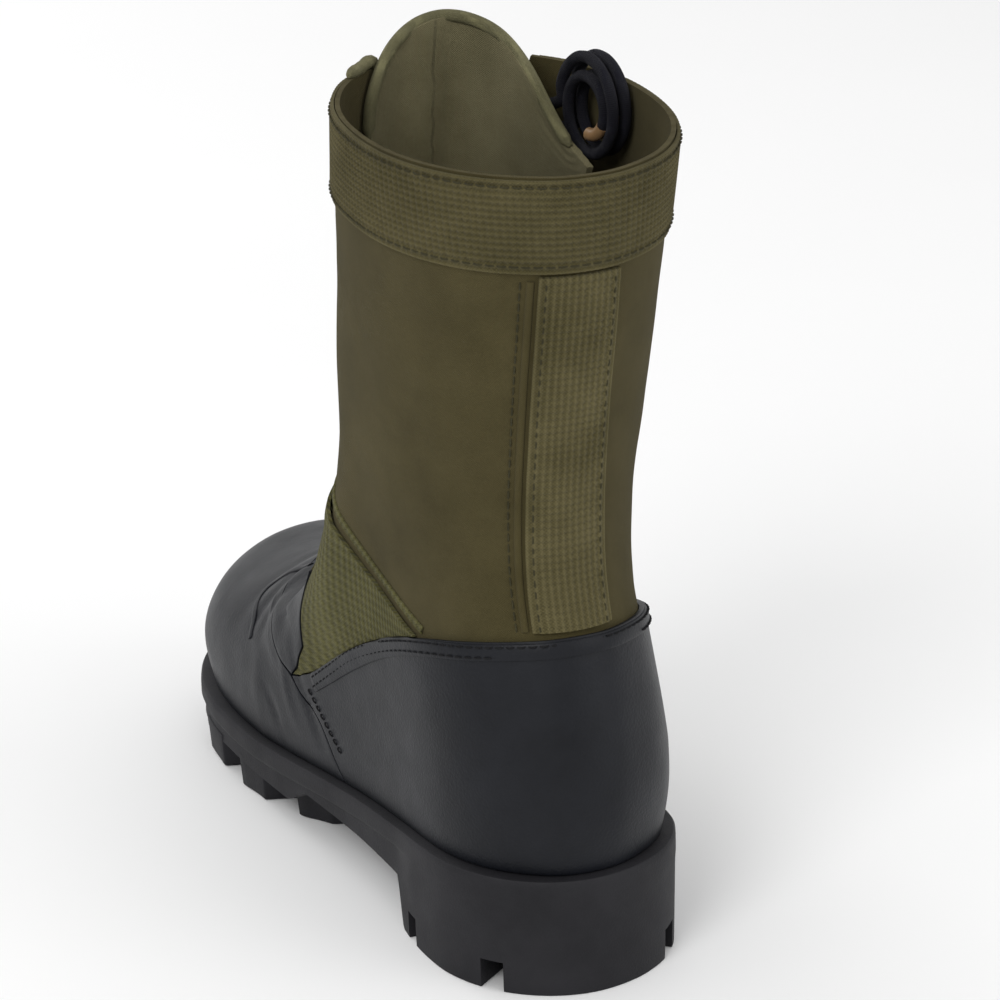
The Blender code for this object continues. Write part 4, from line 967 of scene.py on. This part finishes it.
def spring(x):
    share = np.clip(((np.asarray(x) - BACK_X) / SOLE_LENGTH - 0.74) / 0.26, 0, 1)
    return TOE_SPRING * share**1.6


def underside(x):
    along = np.asarray(x) - BACK_X
    tread = LUG_HEIGHT + spring(x)
    waist = WAIST_CLEARANCE + (tread - WAIST_CLEARANCE) * smooth_step((along - TREAD_START) / WAIST_RUN)
    return np.where(along <= HEEL_LENGTH, 0.0, waist * np.clip((along - HEEL_LENGTH) / BREAST, 0, 1))


# Middles of the heel's and the toe's round, and how far below the feather line the rim is measured
HEEL_MIDDLE_X = 0.004
TOE_MIDDLE_X = 0.205
RIM_DROP = 0.0055


def sole_outline():
    """Smooth plan outline of the sole's rim, evenly spaced, anticlockwise from the toe."""
    tree = tree_of(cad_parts["outsole"])
    found = []
    heel, toe = HEEL_MIDDLE_X, TOE_MIDDLE_X
    starts = [(toe, turn) for turn in np.linspace(0, 88, 23)]
    starts += [(x, 90) for x in np.linspace(toe, heel, 44)]
    starts += [(heel, turn) for turn in np.linspace(92, 268, 45)]
    starts += [(x, 270) for x in np.linspace(heel, toe, 44)]
    starts += [(toe, turn) for turn in np.linspace(272, 356, 22)]
    for x, turn in starts:
        out = Vector((math.cos(math.radians(turn)), math.sin(math.radians(turn)), 0))
        z = feather_height(x + 0.055 * out.x) - RIM_DROP
        hit = tree.ray_cast(Vector((x, 0, z)) + out * ASIDE, -out)
        if hit[0] is not None:
            found.append((hit[0].x, hit[0].y, 0))
    loop = np.array(found + found[:1])
    loop = even_path(loop, 0.0016)[:-1]
    for _ in range(14):
        loop = (np.roll(loop, 1, 0) + 2 * loop + np.roll(loop, -1, 0)) / 4
    return loop[:, :2]


outline = sole_outline()
way = np.roll(outline, -1, 0) - np.roll(outline, 1, 0)
way /= np.linalg.norm(way, axis=1, keepdims=True)
away = np.stack([way[:, 1], -way[:, 0]], -1)
# Side of the sole from its inner top edge down: inward, drop below the feather line; then shares of
# the way from there down to the underside, with how far inward they lie
RIM_PROFILE = [
    (0.0090, 0.0006), (0.0018, 0.0006), (0.0007, 0.0009), (0.0001, 0.0018),
    (0, 0.0032), (0, 0.0066), (0.0004, 0.0078), (0.0014, 0.0086),
]
WALL_PROFILE = [(0.10, 0.0016), (0.35, 0.0015), (0.65, 0.0014), (0.93, 0.0013), (1.0, 0.0019)]


def heel_share(x):
    return 1 - smooth_step((np.asarray(x) - BACK_X - HEEL_LENGTH + 0.012) / 0.020)


def make_sole_body():
    loops = []
    top = feather_height(outline[:, 0])
    heel = heel_share(outline[:, 0])
    for inward, drop in RIM_PROFILE:
        step = inward - heel * np.clip(inward, 0, 0.0016) * (drop > 0.005)
        loops.append(np.column_stack([outline - away * step[:, None], top - drop]))
    start = top - RIM_PROFILE[-1][1]
    foot = underside(outline[:, 0])
    for share, inward in WALL_PROFILE:
        flush = inward * (1 - heel * 0.9) + heel * share * 0.0006
        loops.append(np.column_stack([outline - away * flush[:, None], start + (foot - start) * share]))
    count = len(outline)
    places = np.vstack(loops)
    faces = []
    for k in range(len(loops) - 1):
        for i in range(count):
            j = (i + 1) % count
            faces.append((k * count + i, k * count + j, (k + 1) * count + j, (k + 1) * count + i))
    last = (len(loops) - 1) * count
    toe = int(np.argmax(outline[:, 0]))
    heel_end = int(np.argmin(outline[:, 0]))
    left = [(toe + i) % count for i in range((heel_end - toe) % count + 1)]
    right = [(toe - i) % count for i in range((toe - heel_end) % count + 1)]
    for base, turned in ((0, False), (last, True)):
        a, b = 0, 0
        while a < len(left) - 1 or b < len(right) - 1:
            right_done = b >= len(right) - 1
            left_open = a < len(left) - 1
            if right_done or (left_open and outline[left[a + 1], 0] >= outline[right[b + 1], 0]):
                corners = (left[a], left[a + 1], right[b])
                a += 1
            else:
                corners = (left[a], right[b + 1], right[b])
                b += 1
            if len(set(corners)) == 3:
                corners = tuple(base + c for c in corners)
                faces.append(corners[::-1] if turned else corners)
    thing = new_piece("sole_rubber", places, faces)
    pick(thing)
    bpy.ops.object.mode_set(mode="EDIT")
    bpy.ops.mesh.select_all(action="SELECT")
    bpy.ops.mesh.normals_make_consistent(inside=False)
    bpy.ops.object.mode_set(mode="OBJECT")
    return thing


def edge_at(x, side):
    """Outline point at a place along the sole, and its outward direction; side is 1 for left."""
    rows = np.where(outline[:, 1] * side > 0)[0]
    k = rows[np.argmin(np.abs(outline[rows, 0] - x))]
    return outline[k], away[k]


def prism(name, corners, low, high, draft):
    """Block over a plan outline, drawn in at its foot."""
    corners = np.array(corners, float)
    middle = corners.mean(0)
    gap = middle - corners
    foot = corners + draft * gap / np.linalg.norm(gap, axis=1, keepdims=True)
    count = len(corners)
    places = [(*p, z) for p, z in zip(foot, low)] + [(*p, z) for p, z in zip(corners, high)]
    faces = [tuple(range(count)), tuple(range(count, 2 * count))]
    faces += [(i, (i + 1) % count, count + (i + 1) % count, count + i) for i in range(count)]
    thing = new_piece(name, places, faces)
    pick(thing)
    bpy.ops.object.mode_set(mode="EDIT")
    bpy.ops.mesh.select_all(action="SELECT")
    bpy.ops.mesh.normals_make_consistent(inside=False)
    bpy.ops.object.mode_set(mode="OBJECT")
    return thing


# Side lugs: start and end along (shares of SOLE_LENGTH), inset of the outer foot at both, reach in
SIDE_LUGS = [
    (0.520, 0.575, 0.0130, 0.0060, 0.022),
    (0.630, 0.690, 0.0010, -0.0004, 0.026),
    (0.745, 0.805, -0.0006, -0.0006, 0.027),
    (0.855, 0.910, -0.0006, 0.0004, 0.023),
]
MIDDLE_LUGS = [(0.560, 0.0156), (0.635, 0.0198), (0.710, 0.0208), (0.785, 0.0208), (0.860, 0.0177)]
LUG_SLANT = 0.007
CHEVRON = 0.009
MIDDLE_LUG_LENGTH = 0.011
TOE_LUG_START = 0.935
LUG_SINK = 0.003
SIDE_LUG_DRAFT = 0.0014
MIDDLE_LUG_DRAFT = 0.0010
LUG_ROUNDING = 0.0007
LUG_EDGE = math.radians(30)


def lug(corners, draft):
    """Block from the ground up into the sole."""
    corners = np.array(corners)
    return prism("lug", corners, spring(corners[:, 0]), underside(corners[:, 0]) + LUG_SINK, draft)


def make_lugs():
    made = []
    for side in (1, -1):
        for start, end, inset_a, inset_b, reach in SIDE_LUGS:
            outer = []
            for share in np.linspace(0, 1, 5):
                x = BACK_X + (start + (end - start) * share) * SOLE_LENGTH
                place, out = edge_at(x, side)
                outer.append(place - out * (0.0014 + inset_a + (inset_b - inset_a) * share))
            step = np.array((-LUG_SLANT, -side * reach))
            made.append(lug(outer + [outer[-1] + step, outer[0] + step], SIDE_LUG_DRAFT))
    for along, half in MIDDLE_LUGS:
        x = BACK_X + along * SOLE_LENGTH
        back = x - MIDDLE_LUG_LENGTH
        corners = [(x + CHEVRON, 0), (x, half), (back, half), (back + CHEVRON, 0), (back, -half), (x, -half)]
        made.append(lug(corners, MIDDLE_LUG_DRAFT))
    x = BACK_X + TOE_LUG_START * SOLE_LENGTH
    rows = np.where(outline[:, 0] > x)[0]
    order = rows[np.argsort(np.arctan2(outline[rows, 1], outline[rows, 0] - TOE_MIDDLE_X))]
    corners = np.vstack([(outline[order] - away[order] * 0.0020)[::3], [(x - CHEVRON, 0)]])
    made.append(lug(corners, SIDE_LUG_DRAFT))
    for block in made:
        round_edges(block, LUG_ROUNDING, LUG_EDGE)
    bpy.ops.object.select_all(action="DESELECT")
    for block in made:
        block.select_set(True)
    bpy.context.view_layer.objects.active = made[0]
    bpy.ops.object.join()
    made[0].name = "sole_lugs"
    return made[0]


# Notches in the heel's foot: along (shares of HEEL_LENGTH), side, reach in, width, height
HEEL_NOTCHES = [
    (0.25, 1, 0.018, 0.0085, 0.0105),
    (0.86, 1, 0.013, 0.0070, 0.0100),
    (0.25, -1, 0.018, 0.0085, 0.0105),
    (0.86, -1, 0.013, 0.0070, 0.0100),
]
NOTCH_OUT = 0.01


def make_sole():
    body = make_sole_body()
    for along, side, reach, width, height in HEEL_NOTCHES:
        place, out = edge_at(BACK_X + along * HEEL_LENGTH, side)
        run = np.array((-out[1], out[0])) * width / 2
        inner, outer = place - out * reach, place + out * NOTCH_OUT
        corners = [inner - run, inner + run, outer + run, outer - run]
        cutter = prism("notch", corners, [-NOTCH_OUT] * 4, [height] * 4, 0.0)
        apply(body, "BOOLEAN", operation="DIFFERENCE", object=cutter, solver="EXACT")
        bpy.data.objects.remove(cutter, do_unlink=True)
    finish_piece(body, RUBBER, "sole_rubber", "outsole")
    lugs = make_lugs()
    finish_piece(lugs, RUBBER, "sole_rubber")


make_sole()

# Eyelets
EYELETS = 9
seats = {}
for side in ("left", "right"):
    for number in range(1, EYELETS + 1):
        node_name = f"eyelet_{side}_{number}"
        ring = smooth_copy(node_name, node_name + "_ring", 2)
        places = np.array([v.co[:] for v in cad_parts[node_name].data.vertices])
        middle = places.mean(0)
        normal = np.linalg.svd(places - middle)[2][2]
        if Vector(normal).dot(outward(middle)) < 0:
            normal = -normal
        seats[side, number] = (Vector(middle), Vector(normal))
        finish_piece(ring, ENAMEL, "eyelet_metal", node_name)

# Laces
LACE_RADIUS = 0.0020
UNDER_LACES = ("upper", "vamp", "facing_left", "facing_right", "eyestay_left", "eyestay_right")
lace_tree = tree_of(tongue, *[skins[name] for name in UNDER_LACES])


def crossing(first, second, hump):
    """Lace from one eyelet's hole over the tongue to another's, laid on what lies under it."""
    (a, up_a), (b, up_b) = seats[first], seats[second]
    up = (up_a + up_b).normalized()
    shares = np.linspace(0.07, 0.93, 25)
    heights = []
    for share in shares:
        chord = a.lerp(b, share)
        hit = lace_tree.ray_cast(chord + up * 0.03, -up)
        rise = (hit[0] - chord).dot(up) if hit[0] is not None else -0.01
        heights.append(max(rise, -0.0006))
    heights = np.array(heights)
    reach = 2
    wide = np.array([heights[max(i - reach, 0) : i + reach + 1].max() for i in range(len(heights))])
    wide = soften(wide, 4) + LACE_RADIUS + 0.0003 + hump * np.exp(-(((shares - 0.5) / 0.10) ** 2))
    middle = [a.lerp(b, share) + up * height for share, height in zip(shares, wide)]
    start = [a - up_a * 0.0012, a + up_a * 0.0012]
    end = [b + up_b * 0.0012, b - up_b * 0.0012]
    return even_path(smooth_path(start + middle + end, 3), 0.0012)


runs = []
for number in range(1, EYELETS):
    runs.append(crossing(("left", number), ("right", number + 1), 0.0))
    runs.append(crossing(("right", number), ("left", number + 1), 2 * LACE_RADIUS + 0.0002))
runs.append(crossing(("left", 1), ("right", 1), 0.0))
finish_piece(tubes("lace_crossed", runs, LACE_RADIUS, 10), LACE, "lace_cord", "lace_crossings")

# Free ends of the lace: routes as in the frame's source, then flat coils side by side in the bundle
RIGHT_END = [
    (0.0942, -0.0369, 0.2473), (0.0990, -0.0322, 0.2492), (0.1020, -0.0262, 0.2490),
    (0.0998, -0.0208, 0.2490), (0.0944, -0.0205, 0.2497), (0.0894, -0.0232, 0.2512),
    (0.0852, -0.0258, 0.2535), (0.0812, -0.0284, 0.2570), (0.0756, -0.0318, 0.2610),
]
LEFT_END = [
    (0.0995, 0.0310, 0.2475), (0.1032, 0.0248, 0.2500), (0.1052, 0.0135, 0.2508),
    (0.1052, 0.0000, 0.2520), (0.1025, -0.0115, 0.2530), (0.0970, -0.0175, 0.2560),
    (0.0908, -0.0205, 0.2600), (0.0846, -0.0242, 0.2640), (0.0786, -0.0282, 0.2685),
]
BUNDLE_MIDDLE = Vector((0.0520, -0.0400, 0.2730))
BUNDLE_TURN = math.radians(14)
COIL_ACROSS = 0.0152
COIL_UP = 0.0192
COIL_STEP = 0.0043
COIL_ROUNDING = 1.5
COIL_TURNS = 1.75
COIL_LAYER = 0.0027
COIL_START = math.radians(-25)
TIP_LENGTH = 0.010
TIP_WIDER = 1.12
LACE_SPACING = 0.0013
LACE_FACES = 10


def coil(layer, start_turn):
    """Flat oval coil inward from its rim, in one layer of the bundle."""
    along = Vector((math.cos(BUNDLE_TURN), math.sin(BUNDLE_TURN), 0))
    across = Vector((-math.sin(BUNDLE_TURN), math.cos(BUNDLE_TURN), 0))
    found = []
    count = int(COIL_TURNS * 20)
    for i in range(count + 1):
        turn = 2 * math.pi * i * COIL_TURNS / count
        shrink = COIL_STEP * turn / (2 * math.pi)
        angle = turn + start_turn
        wide, tall = COIL_ACROSS - shrink, COIL_UP - shrink * COIL_ROUNDING
        place = BUNDLE_MIDDLE + along * wide * math.cos(angle) + Vector((0, 0, tall * math.sin(angle)))
        found.append(place + across * layer)
    return found


def make_lace_end(name, route, layer, start_turn, *nodes):
    whole = [Vector(p) for p in route] + coil(layer, start_turn)
    path = even_path(smooth_path(whole, 4), LACE_SPACING)
    length = path_lengths(path)[-1]
    piece = tubes(name, [path], LACE_RADIUS, LACE_FACES)
    tip_path = path[path_lengths(path) > length - TIP_LENGTH]
    tip = tubes(name + "_tip", [tip_path], LACE_RADIUS * TIP_WIDER, LACE_FACES)
    finish_piece(tip, TIP, "lace_cord")
    finish_piece(piece, LACE, "lace_cord", *nodes)


add_camera()
make_lace_end("lace_tail_right", RIGHT_END, -COIL_LAYER, COIL_START, "lace_end_right")
make_lace_end("lace_tail_left", LEFT_END, COIL_LAYER, 0, "lace_end_left", "lace_bundle")


# Floor and light
def add_floor():
    bpy.ops.object.select_all(action="DESELECT")
    bpy.ops.mesh.primitive_plane_add(size=8, location=(0, 0, -0.0002))
    floor = bpy.context.active_object
    floor.name = "floor"
    material, tree, shader = start_material("floor_paper", Roughness=0.9)
    tint = blend_colours(tree, object_noise(tree, 3.0), (0.90, 0.90, 0.90), (0.93, 0.93, 0.93))
    tree.links.new(tint, shader.inputs["Base Color"])
    floor.data.materials.append(material)


def add_light(name, place, size, power):
    data = bpy.data.lights.new(name, "AREA")
    data.shape = "DISK"
    data.size = size
    data.energy = power
    light = bpy.data.objects.new(name, data)
    bpy.context.scene.collection.objects.link(light)
    light.location = place
    light.rotation_euler = (Vector((0.05, 0, 0.12)) - Vector(place)).to_track_quat("-Z", "Y").to_euler()


add_floor()
# Name, place, size in metres, power in watts
LIGHTS = [
    ("key", (-1.3, 1.5, 1.7), 1.2, 24),
    ("fill", (-1.6, -1.3, 1.0), 1.6, 10),
    ("front", (1.8, 0.6, 1.3), 1.4, 10),
]
for name, place, size, power in LIGHTS:
    add_light(name, place, size, power)
world = bpy.data.worlds.new("studio")
bpy.context.scene.world = world
bpy.context.scene.view_settings.view_transform = "Standard"
world.use_nodes = True
world.node_tree.nodes["Background"].inputs["Color"].default_value = (1, 1, 1, 1)
world.node_tree.nodes["Background"].inputs["Strength"].default_value = 0.75
